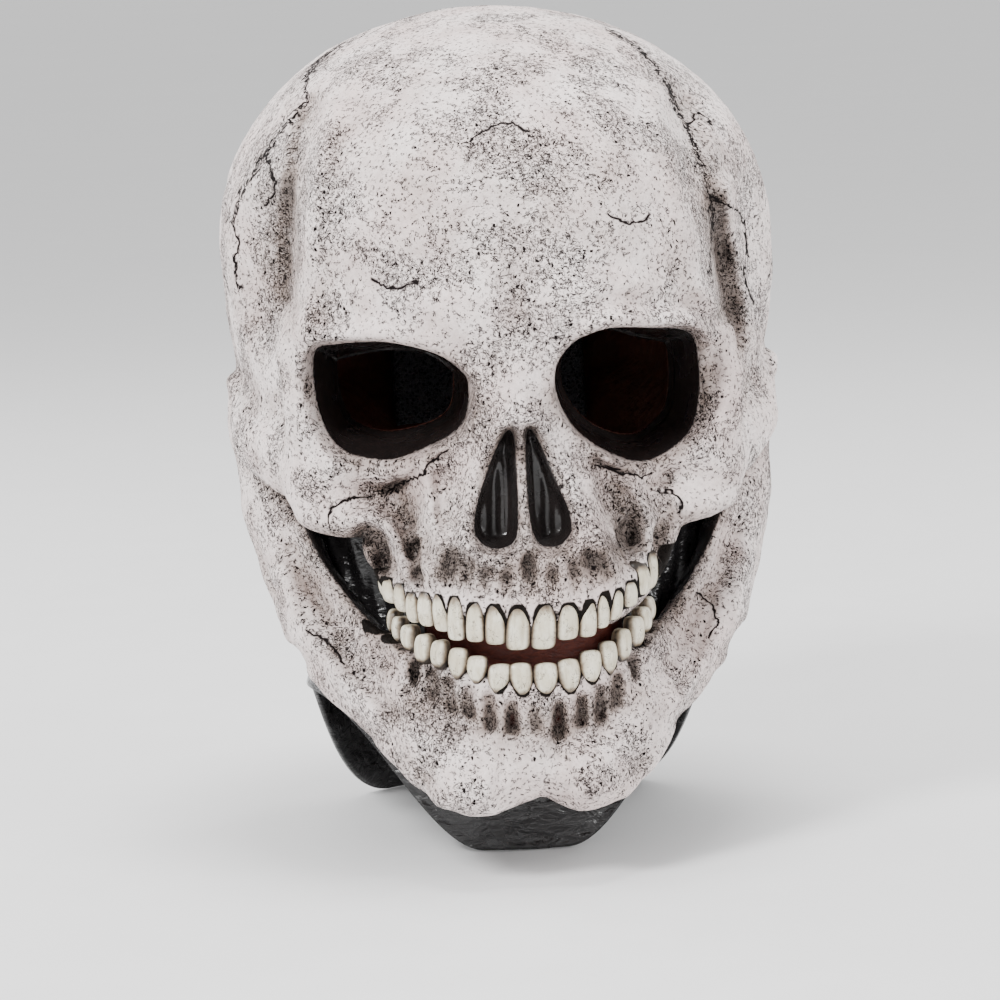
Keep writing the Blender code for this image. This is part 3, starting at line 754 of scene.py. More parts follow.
def paint_marks(p, normals, faces):
    """black, brown and deep: how much each point has of black latex, of brown washes and painted shade in its hollows,
    and of painted shade inside the mouth.
    """
    behind = ramp(-30, -40, p[:, 1])
    rim = np.minimum(outline(p, SOCKET_RIGHT), outline(p, SOCKET_LEFT))
    nose = np.minimum(outline(p, NOSE_RIGHT), outline(p, NOSE_LEFT))
    nose_front = ramp(-80, -88, p[:, 1])
    black = np.maximum(ramp(0.4, -1.6, rim) * behind, ramp(0.4, -1.0, nose) * nose_front)
    recess = outline(p * np.array([0, 1, 1]) + np.abs(p[:, :1]) * np.array([1, 0, 0]), RECESS)
    black = np.maximum(black, ramp(1.0, -1.8, recess) * ramp(-76, -68, p[:, 1]) * ramp(30, 20, p[:, 1]))
    # close hollows take brown washes and painted shade, which the ball-shaped probes find
    hollow = sum(np.clip(1 - least - casting(p + h * normals) / h, 0, 0.8) * share
                 for h, least, share in ((1.8, 0.05, 0.6), (4.5, 0.06, 0.8), (10.0, 0.10, 0.45)))
    hollow = spread(hollow, faces, 7)
    # painted shade in the hollows between the roots of the teeth
    for line in root_hollows(UPPER, *UPPER_ROOTS) + root_hollows(LOWER, *LOWER_ROOTS):
        seen = (0, 2) if len(line[0]) == 2 else (0, 1, 2)
        near = np.flatnonzero((np.abs(p[:, seen] - np.mean(line, axis=0)) < 14).all(1) & (p[:, 1] < -60))
        hollow[near] += 0.58 * np.exp(-0.5 * (to_line(p[near][:, seen], line)[0] / 2.0) ** 2)
    # painted shade and brown washes darken towards the socket rims and the nose pits
    brown = hollow + 0.55 * ramp(5.0, 0.0, rim) * behind + 0.6 * ramp(4.0, 0.0, nose) * nose_front
    # strokes of brown washes and painted shade, as seen from the front
    for amount, width, points in SHADE_AND_WASH_STROKES:
        near = np.flatnonzero(p[:, 1] < -20)
        brown[near] += amount * np.exp(-0.5 * (to_line(p[near][:, (0, 2)], points)[0] / width) ** 2)
    # painted shade round the dark recess beside the teeth
    brown = brown + 0.5 * ramp(6.0, 0.0, recess) * ramp(-96, -84, p[:, 1]) * ramp(30, 10, p[:, 1])
    inside_arch = np.hypot(p[:, 0] / ARCH[0], (p[:, 1] - ARCH_Y) / ARCH[1])
    # painted shade, dark red, on the inside of the dental arch behind the teeth
    deep = ramp(0.90, 0.84, inside_arch) * ramp(104, 98, p[:, 2]) * ramp(50, 56, p[:, 2])
    teeth = np.where(p[:, 2] > 62, crown_gap(p, UPPER), 4)
    teeth = np.minimum(teeth, crown_gap(p, LOWER))
    return dict(black=black, brown=np.clip(brown, 0, 1.5), deep=deep, crown=teeth)


# Black faces of the casting's front belong to the nose or to a socket, told apart by where they are.
UPPER_GUM_Z, LINERS_Y = 107, -50
NOSE_HALF_WIDTH, NOSE_TOP_Z = 17, 150
SOCKETS_Z = 128


def build_casting(materials):
    """The bone-coloured skin of the skull and the jaw, the black liners in it, and the lining behind it."""
    fine = FINE
    lines = (spaced((-94, 94, fine)),
             spaced((-120, -44, fine), (-44, 118, fine * 1.35)),
             spaced((18, 198, fine), (198, 280, fine * 1.25)))
    points, faces = grid_mesh(casting, lines)
    points, normals = settle(casting, points)
    skull, jaw, hollow = casting_parts(points)
    inner = (-hollow > np.minimum(skull, jaw) + 0.4) | (-openings(points) > np.minimum(skull, jaw) + 0.9)
    marks = paint_marks(points, normals, faces)
    marks["suture"], marks["suture_on"] = crack_marks(points, normals, SUTURES)
    marks["crack"], marks["crack_on"] = crack_marks(points, normals, CRACKS)

    middle = points[faces].mean(1)
    on_jaw = (jaw < skull)[faces].sum(1) >= 2
    lining = inner[faces].sum(1) >= 3
    black = marks["black"][faces].mean(1) > 0.5
    x, y, z = middle.T
    front = ~lining & ~on_jaw & black & (z > UPPER_GUM_Z) & (y < LINERS_Y)
    wide = np.abs(x) > NOSE_HALF_WIDTH
    right, left = (front & wide & (x * side > 0) & (z > SOCKETS_Z) for side in (-1, 1))
    nose_faces = front & ~wide & (z < NOSE_TOP_Z)
    rest = ~lining & ~on_jaw & ~nose_faces & ~left & ~right
    pieces = (("skull_skin", rest, "bone", "bone_latex", ("skull_shell", "nasal_septum")),
              ("eye_liner_left", left, "bone", "black_latex", ("eye_socket_left",)),
              ("eye_liner_right", right, "bone", "black_latex", ("eye_socket_right",)),
              ("nose_liner", nose_faces, "bone", "black_latex", ("nose_cavity",)),
              ("skull_lining", lining & ~on_jaw, "lining", "bone_latex", ()),
              ("jaw_skin", on_jaw & ~lining, "bone", "bone_latex", ("jaw_shell",)),
              ("jaw_lining", on_jaw & lining, "lining", "bone_latex", ()))
    for name, chosen, look, slot, nodes in pieces:
        used, index = part_of(faces, chosen)
        obj = new_object(name, points[used], index, materials[look], normals=normals[used],
                         **{mark: values[used] for mark, values in marks.items()})
        if nodes:
            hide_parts(*nodes)
        if name.startswith("jaw"):
            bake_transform(obj)
        else:
            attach(obj, "skull")


# ---- teeth ----

AROUND = 12           # points round each ring of a tooth
MOLAR_THICK, INCISOR_THICK = 5.6, 5.0


def tooth_row(name, teeth, inset, up, material, seed):
    """One row of teeth, each a rounded block lofted from its gum to its edge."""
    random = np.random.default_rng(seed)
    points, faces, stain = [], [], []
    for i in range(len(teeth)):
        a, degrees_wide, root, edge, profile = crown(teeth, i)
        here = np.array(arch_point(a, inset))
        ahead = np.array(arch_point(a + 0.5, inset)) - np.array(arch_point(a - 0.5, inset))
        width = np.linalg.norm(ahead) * degrees_wide * random.uniform(0.96, 1.04)
        across = ahead / np.linalg.norm(ahead)
        outward = np.array([across[1], -across[0], 0])
        thick = MOLAR_THICK if profile is MOLAR else INCISOR_THICK
        twist, lean = random.uniform(-0.22, 0.22), random.uniform(-1.3, 1.3)
        edge += random.uniform(-0.5, 0.5)
        old = random.uniform(0.0, 0.14)
        start = len(points)
        for t, wide, deep, out in profile:
            z = root + (edge - root) * t
            for k in range(AROUND):
                angle = 2 * pi * k / AROUND
                c, s = cos(angle), sin(angle)
                c, s = np.sign(c) * abs(c) ** 0.72, np.sign(s) * abs(s) ** 0.80
                u, v = 0.5 * width * wide * c, 0.5 * thick * deep * s + out + twist * width * c * 0.5
                rise = 0.35 * up * t * cos(2 * angle) if profile is MOLAR and t > 0.9 else 0.0
                points.append(here + across * (u + lean * (t - 0.5)) + outward * v + np.array([0, 0, z + rise]))
                # each point's staining: random for the tooth, darker towards the gum, with painted shade on the crown's
                # sides next to its neighbours
                stain.append(old + 0.9 * smoothstep(0.34, 0.06, t) + 4.2 * max(0.0, abs(c) - 0.56) ** 2)
        rings = len(profile)
        for f in grid_faces(rings, AROUND, closed=True):
            faces.append([start + n for n in (f if up < 0 else f[::-1])])
        top = [start + (rings - 1) * AROUND + k for k in range(AROUND)]
        bottom = [start + k for k in range(AROUND)]
        faces.append(top if up < 0 else top[::-1])
        faces.append(bottom[::-1] if up < 0 else bottom)
    obj = new_object(name, points, faces, material, stain=stain)
    add_modifier(obj, "SUBSURF", levels=2, render_levels=2)
    return obj


def build_teeth(materials):
    upper = tooth_row("upper_tooth_row", UPPER, 1.6, 1, materials["tooth"], 11)
    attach(upper, "skull")
    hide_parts("upper_teeth")
    lower = tooth_row("lower_tooth_row", LOWER, 4.0, -1, materials["tooth"], 12)
    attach(lower, "jaw")
    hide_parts("lower_teeth")


def build_mouth(material):
    """A dark red sheet behind the teeth, from above the upper row to below the lower row, as painted shade for the
    inside of the mouth.
    """
    rows, columns = 20, 60
    points = []
    for i in range(rows):
        v = i / (rows - 1)
        for j in range(columns):
            a = -72 + 144 * j / (columns - 1)
            x, y, _ = arch_point(a, 9.5 + 2.0 * sin(pi * v))
            points.append((x, y, 58 + 0.12 * (y + 100) + 34 * v + 0.3 * sin(0.9 * j + 3 * v)))
    obj = new_object("mouth_skin", points, grid_faces(rows, columns), material)
    add_modifier(obj, "SOLIDIFY", thickness=1.0 * MM, offset=0)
    apply_modifiers(obj)
    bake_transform(obj)
    return obj


# ---- black latex skins ----

def cheek_skin(side, material):
    """The folded skin at the back of the recess beside the teeth, from behind the gums to the inside of the jaw."""
    rows, columns = 44, 36
    points = []
    for i in range(rows):
        v = i / (rows - 1)
        z = 60 + 60 * v
        start = np.array([33 + 4 * v, -66 + 3 * v])
        end = np.array([58 + 12.5 * v, -44 + 24 * v])
        for j in range(columns):
            u = j / (columns - 1)
            x, y = start + (end - start) * u
            fold = 1.5 * sin(9 * u + 3 * v) + 0.8 * sin(21 * u - 5 * v + 1) + 0.35 * sin(46 * u + 4 * v)
            fade = sin(pi * u) ** 0.5
            points.append((side * (x + 0.6 * fold * fade), y - fade * (fold + 4 * (u - 0.3)), z - 6 * u * (1 - v)))
    faces = grid_faces(rows, columns)
    if side < 0:
        faces = [f[::-1] for f in faces]
    name = "cheek_skin_left" if side > 0 else "cheek_skin_right"
    obj = new_object(name, points, faces, material)
    add_modifier(obj, "SOLIDIFY", thickness=1.2 * MM, offset=-1)
    apply_modifiers(obj)
    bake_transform(obj)
    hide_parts("cheek_membrane_left" if side > 0 else "cheek_membrane_right")
    return obj


def apply_modifiers(obj):
    """Makes what its modifiers show the object's own mesh."""
    bpy.context.view_layer.update()
    graph = bpy.context.evaluated_depsgraph_get()
    mesh = bpy.data.meshes.new_from_object(obj.evaluated_get(graph), preserve_all_data_layers=True, depsgraph=graph)
    obj.modifiers.clear()
    obj.data = mesh


NECK_WIDE = (70.0, 51.5, 82.5)    # half width, reach to the front, reach to the back
NECK_TOP = (58.5, 51.5, 73.0)
HEM_SIDE_Z = 50.0
THROAT_TOP_Z = 58.0
NECK_TOP_Z = 113.0
SLIT_TOP_Z = 78.0
SLIT_HALF_WIDTH = 1.5


def neck_point(angle, share):
    """A point of the neck: angle 0 at the wearer's left, 90 degrees at the nape; share 0 at the hem, 1 at the top."""
    c, s = cos(angle), sin(angle)
    narrow = smoothstep(0.42, 0.94, share) * (1 if s > 0 else smoothstep(-0.9, 0, s))
    half, front, back = (a + (b - a) * narrow for a, b in zip(NECK_WIDE, NECK_TOP))
    x, y = half * c, (back if s > 0 else front) * s
    if s < 0:
        hem = HEM_SIDE_Z * smoothstep(14, NECK_WIDE[0], abs(x))
        top = THROAT_TOP_Z + (NECK_TOP_Z - THROAT_TOP_Z) * smoothstep(-0.85, -0.1, s)
    else:
        hem, top = HEM_SIDE_Z * (1 - smoothstep(0.1, 0.8, s)), NECK_TOP_Z
    return np.array([x, y, 0.6 + hem + (top - hem) * share])


def build_neck(material):
    """The black neck, with its low point in front, slack folds round it, and the slit at the nape."""
    rows, columns = 56, 200
    gap = SLIT_HALF_WIDTH / NECK_WIDE[0]
    turns = np.concatenate([[pi / 2 + gap], np.linspace(pi / 2 + 2 * pi / columns, pi / 2 + 2 * pi * (1 - 1 / columns),
                                                        columns - 2), [pi / 2 + 2 * pi - gap]])
    points, faces = [], []
    for i in range(rows):
        share = i / (rows - 1)
        for turn in turns:
            p = neck_point(turn, share)
            out = np.array([cos(turn), sin(turn), 0])
            slack = sin(pi * share) ** 0.7
            fold = 1.3 * sin(p[2] / 5.2 + 1.6 * sin(turn * 2 + 0.6)) * sin(turn * 3 + p[2] / 40) ** 2
            fold += 0.8 * sin(p[2] / 2.9 + 2.2 * sin(turn * 3)) * sin(turn * 2.5 + 1) ** 2
            fold += 0.7 * sin(9 * turn + p[2] / 15)
            hem = 0.9 * np.exp(-((p[2] - neck_point(turn, 0)[2]) / 2.4) ** 2)
            flat = 1 - 0.9 * smoothstep(28 / 70, 20 / 70, abs(cos(turn))) * (sin(turn) > 0)
            points.append(p + out * (hem + (fold * slack - 1.2) * flat))
    for a, b, c, d in grid_faces(rows, columns, closed=True):
        across_slit = (a % columns == columns - 1) or (b % columns == 0 and a % columns != 0)
        if not (across_slit and points[a][2] < SLIT_TOP_Z):
            faces.append((a, b, c, d))
    obj = new_object("neck_skin", points, faces, material)
    add_modifier(obj, "SOLIDIFY", thickness=1.6 * MM, offset=-1)
    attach(obj, "skull")
    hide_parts("neck_cowl")
    return obj


def build_throat(material):
    """The skin under the tongue, from inside the jaw back to the top of the neck's front."""
    rows, columns = 30, 70
    front = curve([(-60, -47, 62), (-49, -64, 53), (-31, -84, 41), (0, -100, 33), (31, -84, 41), (49, -64, 53),
                   (60, -47, 62)], per=12)
    along = np.linspace(0, len(front) - 1, columns)
    front = np.stack([np.interp(along, np.arange(len(front)), front[:, k]) for k in range(3)], 1)
    points = []
    for i in range(rows):
        t = i / (rows - 1)
        for j in range(columns):
            turn = radians(-90 + 66 * (2 * j / (columns - 1) - 1))
            back = neck_point(turn, 1.0) * np.array([0.99, 0.99, 1]) + np.array([0, 0, -3])
            q = front[j] + (back - front[j]) * t
            sag = 2.2 * sin(pi * t) + 0.8 * sin(pi * t) * sin(14 * t + 0.25 * j)
            points.append(q + np.array([0, 0, -sag]))
    obj = new_object("throat_skin", points, grid_faces(rows, columns), material)
    add_modifier(obj, "SOLIDIFY", thickness=1.2 * MM, offset=0)
    apply_modifiers(obj)
    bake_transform(obj)
    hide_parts("throat_membrane")
    return obj


# ---- foam pads ----

def build_pad(node, body, material, back=0.0):
    """A foam pad in the room of its CAD solid, remeshed finely so that its edges round over, and set back in mm."""
    cad = bpy.data.objects[node]
    mesh = cad.data.copy()
    mesh.materials.clear()
    mesh.materials.append(material)
    obj = bpy.data.objects.new(node + "_foam", mesh)
    bpy.context.scene.collection.objects.link(obj)
    obj.matrix_world = cad.matrix_world
    obj.location.y += back * MM
    add_modifier(obj, "REMESH", mode="VOXEL", voxel_size=1.6 * MM, use_smooth_shade=True)
    add_modifier(obj, "SMOOTH", factor=0.5, iterations=14)
    apply_modifiers(obj)
    points = np.array([obj.matrix_world @ v.co for v in obj.data.vertices]) / MM
    rest = obj.data.attributes.new("rest", "FLOAT_VECTOR", "POINT")
    rest.data.foreach_set("vector", points.astype(F32).ravel())
    obj.data.shade_smooth()
    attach(obj, body)
    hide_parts(node)
    return obj


# ---- materials ----

class Shader:
    """Builds one node material. Places come in millimetres, from the mesh's own rest points or from the object."""

    def __init__(self, name, by_object=False):
        self.material = bpy.data.materials.new(name)
        self.material.use_nodes = True
        self.tree = self.material.node_tree
        self.surface = self.tree.nodes["Principled BSDF"]
        if by_object:
            here = self.node("ShaderNodeTexCoord").outputs["Object"]
            self.place = self.vector("SCALE", here, scale=1000.0)
        else:
            self.place = self.mark("rest", "Vector")

    def node(self, kind, inputs=(), **settings):
        node = self.tree.nodes.new(kind)
        for name, value in settings.items():
            setattr(node, name, value)
        for name, value in dict(inputs).items():
            self.put(node.inputs[name], value)
        return node

    def put(self, socket, value):
        if isinstance(value, bpy.types.NodeSocket):
            self.tree.links.new(value, socket)
        elif socket.type == "RGBA":
            socket.default_value = (*value, 1.0)
        else:
            socket.default_value = value

    def mark(self, name, output="Fac"):
        return self.node("ShaderNodeAttribute", attribute_name=name).outputs[output]

    def math(self, operation, a, b=0.0, clamp=False):
        return self.node("ShaderNodeMath", {0: a, 1: b}, operation=operation, use_clamp=clamp).outputs[0]

    def times(self, a, b, clamp=False):
        return self.math("MULTIPLY", a, b, clamp)

    def plus(self, a, b):
        return self.math("ADD", a, b)

    def minus(self, a, b):
        return self.math("SUBTRACT", a, b)

    def most(self, a, b):
        return self.math("MAXIMUM", a, b)

    def size_of(self, a):
        return self.math("ABSOLUTE", a)

    def vector(self, operation, a, b=(0, 0, 0), scale=1.0):
        inputs = {0: a, 1: b, "Scale": scale} if operation == "SCALE" else {0: a, 1: b}
        return self.node("ShaderNodeVectorMath", inputs, operation=operation).outputs["Vector"]

    def noise(self, size, detail=2.0, rough=0.5, at=None, twist=0.0):
        """Noise from 0 to 1 with lumps about size mm across."""
        inputs = {"Vector": at or self.place, "Scale": 1.0 / size, "Detail": detail, "Roughness": rough,
                  "Distortion": twist}
        return self.node("ShaderNodeTexNoise", inputs).outputs["Fac"]

    def cells(self, size, at=None, feature="F1", output="Distance", random=1.0):
        inputs = {"Vector": at or self.place, "Scale": 1.0 / size, "Randomness": random}
        return self.node("ShaderNodeTexVoronoi", inputs, feature=feature).outputs[output]

    def ramp(self, value, low, high, start=0.0, end=1.0):
        inputs = {"Value": value, "From Min": low, "From Max": high, "To Min": start, "To Max": end}
        return self.node("ShaderNodeMapRange", inputs, interpolation_type="SMOOTHSTEP").outputs["Result"]

    def mix(self, share, a, b, blend="MIX"):
        node = self.node("ShaderNodeMix", data_type="RGBA", blend_type=blend)
        self.put(node.inputs["Factor"], share)
        self.put(node.inputs["A"], a)
        self.put(node.inputs["B"], b)
        return node.outputs["Result"]

    def stretched(self, turn, scale, shift=(0, 0, 0)):
        inputs = {"Vector": self.place, "Rotation": [radians(a) for a in turn], "Scale": scale, "Location": shift}
        return self.node("ShaderNodeMapping", inputs).outputs["Vector"]

    def finish(self, colour, roughness, bumps, **constants):
        """bumps are (height, size in mm) from the coarsest to the finest."""
        normal = None
        for height, size in bumps:
            inputs = {"Height": height, "Distance": size * MM, "Strength": 1.0}
            if normal:
                inputs["Normal"] = normal
            normal = self.node("ShaderNodeBump", inputs).outputs["Normal"]
        self.put(self.surface.inputs["Base Color"], colour)
        self.put(self.surface.inputs["Roughness"], roughness)
        if normal:
            self.put(self.surface.inputs["Normal"], normal)
        for name, value in constants.items():
            self.put(self.surface.inputs[name.replace("_", " ")], value)
        return self.material


def bone_paint():
    """Off-white latex: dark paint left in its pits and cracks, brown washes and painted shade in its hollows, painted
    shade inside the mouth, black where it is masked.
    """
    s = Shader("bone_paint")
    black, brown, deep = s.mark("black"), s.mark("brown"), s.mark("deep")
    # short pits, upright in some places and level in others, each cell of the pattern with or without one
    shaken = s.vector("SUBTRACT", s.node("ShaderNodeTexNoise", {"Vector": s.place, "Scale": 0.55, "Detail": 2.0})
                      .outputs["Color"], (0.5, 0.5, 0.5))
    shaken = s.vector("ADD", s.place, s.vector("SCALE", shaken, scale=2.2))
    where = s.ramp(s.noise(21.0, 3.0, 0.6), 0.40, 0.63)
    density = s.plus(s.ramp(where, 0.0, 1.0, 0.10, 0.85), s.times(brown, 0.45))
    layers = []
    for pitch, squeeze, share in ((0.72, (1.0, 1.0, 0.36), 0.55), (0.75, (0.38, 1.0, 1.0), 0.55),
                                  (1.3, (0.8, 1.0, 0.5), 0.22)):
        at = s.vector("MULTIPLY", shaken, squeeze)
        spot = s.ramp(s.cells(pitch, at), 0.22, 0.38, 1.0, 0.0)
        lot = s.node("ShaderNodeSeparateColor", {0: s.cells(pitch, at, output="Color")}).outputs[0]
        layers.append(s.times(spot, s.math("LESS_THAN", lot, s.times(density, share))))
    upright = s.ramp(s.noise(33.0, 2.0, 0.5), 0.44, 0.56)
    flecks = s.plus(s.times(layers[0], upright),
                    s.times(layers[1], s.minus(1.0, upright)))
    flecks = s.most(flecks, layers[2])
    # hair-thin squiggles: level lines of noise, broken into short lengths by a finer noise
    broken = s.ramp(s.plus(s.noise(1.4, 1.0), s.times(density, 0.24)), 0.58, 0.70)
    for size, turn, squeeze in ((2.7, (0, 0, 0), (1.5, 1.2, 0.8)), (2.3, (15, 30, 10), (0.8, 1.2, 1.6))):
        level = s.noise(size, 2.0, 0.55, s.stretched(turn, squeeze), 1.4)
        line = s.ramp(s.size_of(s.minus(level, 0.5)), 0.008, 0.038, 1.0, 0.0)
        flecks = s.most(flecks, s.times(line, broken))
    wander = s.noise(5.0, 2.0)
    # sutures and cracks wander about the lines that the mesh carries
    zigzag = s.times(s.minus(s.noise(4.4, 2.0, 0.7, None, 1.5), 0.5), 7.0)
    suture = s.size_of(s.plus(s.mark("suture"), zigzag))
    suture = s.times(s.ramp(suture, 0.30, 0.85, 1.0, 0.0), s.mark("suture_on"))
    wiggle = s.times(s.minus(s.noise(6.0, 2.0, 0.6, None, 0.6), 0.5), 5.0)
    crack = s.size_of(s.plus(s.mark("crack"), wiggle))
    crack = s.times(s.ramp(crack, 0.18, 0.60, 1.0, 0.0), s.mark("crack_on"))
    dark = s.most(flecks, s.most(suture, crack))
    # colours
    patches = s.ramp(s.noise(34.0, 3.0, 0.6), 0.35, 0.70)
    bone = s.mix(patches, (0.90, 0.81, 0.785), (0.74, 0.61, 0.58))
    smoke = s.ramp(s.noise(15.0, 5.0, 0.65, None, 0.6), 0.44, 0.72)
    bone = s.mix(s.times(smoke, 0.50), bone, (0.38, 0.295, 0.275))
    mottle = s.ramp(s.noise(1.5, 3.0, 0.7), 0.36, 0.72)
    bone = s.mix(s.times(mottle, 0.34), bone, (0.44, 0.36, 0.335))
    grit = s.times(s.ramp(s.noise(0.7, 3.0, 0.7), 0.48, 0.64), s.times(density, 0.45), clamp=True)
    bone = s.mix(grit, bone, (0.16, 0.125, 0.115))
    # brown washes with painted shade in the hollows, patchy, and near black where the shade is deepest
    wash_and_shade = s.times(brown, s.ramp(wander, 0.25, 0.65, 0.55, 1.0), clamp=True)
    bone = s.mix(s.times(wash_and_shade, 0.75), bone, (0.22, 0.155, 0.12))
    bone = s.mix(s.ramp(brown, 0.65, 1.75, 0.0, 0.85), bone, (0.028, 0.018, 0.014))
    bone = s.mix(dark, bone, (0.007, 0.005, 0.005))
    edge = s.plus(black, s.times(s.minus(s.noise(1.6, 2.0), 0.5), 0.5))
    painted = s.ramp(edge, 0.35, 0.65)
    colour = s.mix(painted, bone, s.mix(s.noise(6.0, 2.0), (0.008, 0.007, 0.007), (0.020, 0.015, 0.014)))
    # painted shade, dark red, inside the mouth behind the teeth
    colour = s.mix(deep, colour, (0.050, 0.009, 0.005))
    gum_line = s.plus(s.mark("crown"), s.times(s.minus(s.noise(1.8, 2.0), 0.5), 0.7))
    gum_line = s.ramp(gum_line, -0.25, 0.30, 1.0, 0.0)
    colour = s.mix(gum_line, colour, (0.008, 0.006, 0.005))
    dull = s.times(s.most(dark, gum_line), s.minus(1.0, painted))
    shine = s.minus(0.45, s.times(dull, 0.40))
    rough = s.ramp(s.noise(3.0, 3.0), 0.2, 0.8, 0.50, 0.68)
    rough = s.plus(rough, s.times(dark, 0.15))
    gloss = s.ramp(s.noise(9.0, 2.0), 0.3, 0.7, 0.16, 0.30)
    roughness = s.plus(s.times(rough, s.minus(1.0, painted)),
                       s.times(gloss, painted))
    lumps = s.times(s.noise(4.0, 4.0, 0.65), s.minus(1.0, s.times(painted, 0.7)))
    grooves = s.times(s.times(dark, -1.0), s.minus(1.0, painted))
    return s.finish(colour, roughness, ((lumps, 0.8), (grooves, 0.40)), Specular_IOR_Level=shine)


def black_latex():
    s = Shader("black_latex")
    ripple = s.noise(7.0, 3.0, 0.55, s.stretched((0, 0, 0), (1.0, 1.0, 2.2)), 0.8)
    fine = s.noise(0.9, 2.0)
    dust = s.ramp(s.noise(1.3, 4.0, 0.75), 0.62, 0.80, 0.0, 0.22)
    colour = s.mix(s.noise(18.0, 3.0), (0.009, 0.009, 0.010), (0.018, 0.016, 0.016))
    colour = s.mix(dust, colour, (0.055, 0.050, 0.048))
    rough = s.plus(s.ramp(s.noise(12.0, 3.0), 0.3, 0.75, 0.17, 0.33), s.times(dust, 0.5))
    return s.finish(colour, rough, ((ripple, 1.1), (fine, 0.05)), Specular_IOR_Level=0.55)


def latex_lining():
    """The raw inside of the casting: brown-red latex with brush marks and a thick grain."""
    s = Shader("latex_lining")
    strokes = s.noise(8.0, 4.0, 0.6, s.stretched((0, 20, 30), (1.0, 3.0, 1.0)))
    colour = s.mix(s.ramp(s.noise(22.0, 3.0), 0.3, 0.7), (0.115, 0.030, 0.018), (0.165, 0.060, 0.038))
    colour = s.mix(s.ramp(strokes, 0.5, 0.8, 0.0, 0.5), colour, (0.055, 0.014, 0.010))
    rough = s.ramp(strokes, 0.3, 0.7, 0.42, 0.62)
    return s.finish(colour, rough, ((strokes, 1.0), (s.noise(1.6, 3.0), 0.25)), Specular_IOR_Level=0.4)


def mouth_shade():
    """Painted shade for the inside of the mouth: dull dark red with a fine wrinkle."""
    s = Shader("mouth_shade")
    wrinkle = s.noise(2.4, 3.0, 0.6, s.stretched((0, 0, 0), (1.0, 1.0, 2.5)), 0.6)
    colour = s.mix(s.ramp(wrinkle, 0.3, 0.7), (0.060, 0.010, 0.006), (0.105, 0.020, 0.011))
    return s.finish(colour, s.ramp(wrinkle, 0.3, 0.7, 0.5, 0.65), ((wrinkle, 0.5),), Specular_IOR_Level=0.35)


def tooth_latex():
    s = Shader("tooth_latex")
    stain = s.mark("stain")
    streak = s.noise(2.6, 3.0, 0.6, s.stretched((0, 0, 0), (1.6, 1.6, 0.35)))
    ivory = s.mix(s.ramp(s.noise(7.0, 3.0), 0.3, 0.7), (0.78, 0.735, 0.60), (0.62, 0.56, 0.42))
    ivory = s.mix(s.ramp(streak, 0.42, 0.70, 0.0, 0.55), ivory, (0.40, 0.33, 0.22))
    # staining and painted shade: darker towards the gum and on the crown's sides
    amount = s.plus(stain, s.times(s.minus(s.noise(1.6, 2.0), 0.5), 0.35))
    ivory = s.mix(s.ramp(amount, 0.10, 0.62, 0.0, 0.88), ivory, (0.15, 0.10, 0.060))
    ivory = s.mix(s.ramp(amount, 0.50, 0.90, 0.0, 0.95), ivory, (0.012, 0.008, 0.006))
    level = s.noise(2.0, 2.0, 0.6, s.stretched((0, 0, 0), (1.0, 1.0, 0.6)), 1.0)
    hair = s.ramp(s.size_of(s.minus(level, 0.5)), 0.004, 0.026, 1.0, 0.0)
    hair = s.times(hair, s.ramp(s.noise(3.3, 1.0), 0.46, 0.60))
    ivory = s.mix(s.times(hair, 0.8), ivory, (0.06, 0.04, 0.03))
    rough = s.ramp(s.noise(2.2, 2.0), 0.3, 0.7, 0.30, 0.46)
    return s.finish(ivory, rough, ((streak, 0.35), (s.noise(0.8, 2.0), 0.06)), Specular_IOR_Level=0.5)


def foam():
    """Charcoal open-cell foam."""
    s = Shader("open_cell_foam")
    pore = s.ramp(s.cells(1.5), 0.12, 0.52, 1.0, 0.0)
    small = s.ramp(s.cells(0.7), 0.15, 0.5, 1.0, 0.0)
    holes = s.most(pore, s.times(small, 0.6))
    colour = s.mix(s.noise(12.0, 3.0), (0.075, 0.076, 0.080), (0.115, 0.115, 0.118))
    # the pores are coloured darker: painted shade in them
    colour = s.mix(holes, colour, (0.020, 0.020, 0.022))
    return s.finish(colour, s.ramp(holes, 0.0, 1.0, 0.82, 0.95), ((s.times(holes, -1.0), 0.7),),
                    Specular_IOR_Level=0.25)


def woven(name, colour_a, colour_b, pitch, across="X"):
    """Webbing: rows of yarn in a basket weave of that pitch, with fuzz."""
    s = Shader(name, by_object=True)
    parts = s.node("ShaderNodeSeparateXYZ", {0: s.place})
    warp = s.math("SINE", s.times(parts.outputs[across], 2 * pi / pitch))
    weft = s.math("SINE", s.times(parts.outputs["Z"], 2 * pi / (pitch * 0.7)))
    weave = s.plus(s.times(s.times(warp, weft), 0.5), 0.5)
    fuzz = s.noise(0.5, 3.0, 0.7)
    colour = s.mix(weave, colour_a, colour_b)
    colour = s.mix(s.times(fuzz, 0.35), colour, colour_a)
    return s.finish(colour, s.ramp(fuzz, 0.3, 0.7, 0.72, 0.9), ((weave, 0.45), (fuzz, 0.12)), Specular_IOR_Level=0.3)


def hooks_or_loops(name, colour_a, colour_b, pitch, depth):
    s = Shader(name, by_object=True)
    spots = s.ramp(s.cells(pitch, random=0.35), 0.15, 0.5, 1.0, 0.0)
    fuzz = s.noise(0.45, 3.0, 0.75, None, 1.5)
    colour = s.mix(s.times(spots, s.ramp(fuzz, 0.3, 0.7, 0.5, 1.0)), colour_a, colour_b)
    return s.finish(colour, s.ramp(fuzz, 0.3, 0.7, 0.55, 0.85), ((spots, depth), (fuzz, 0.25)), Specular_IOR_Level=0.35)


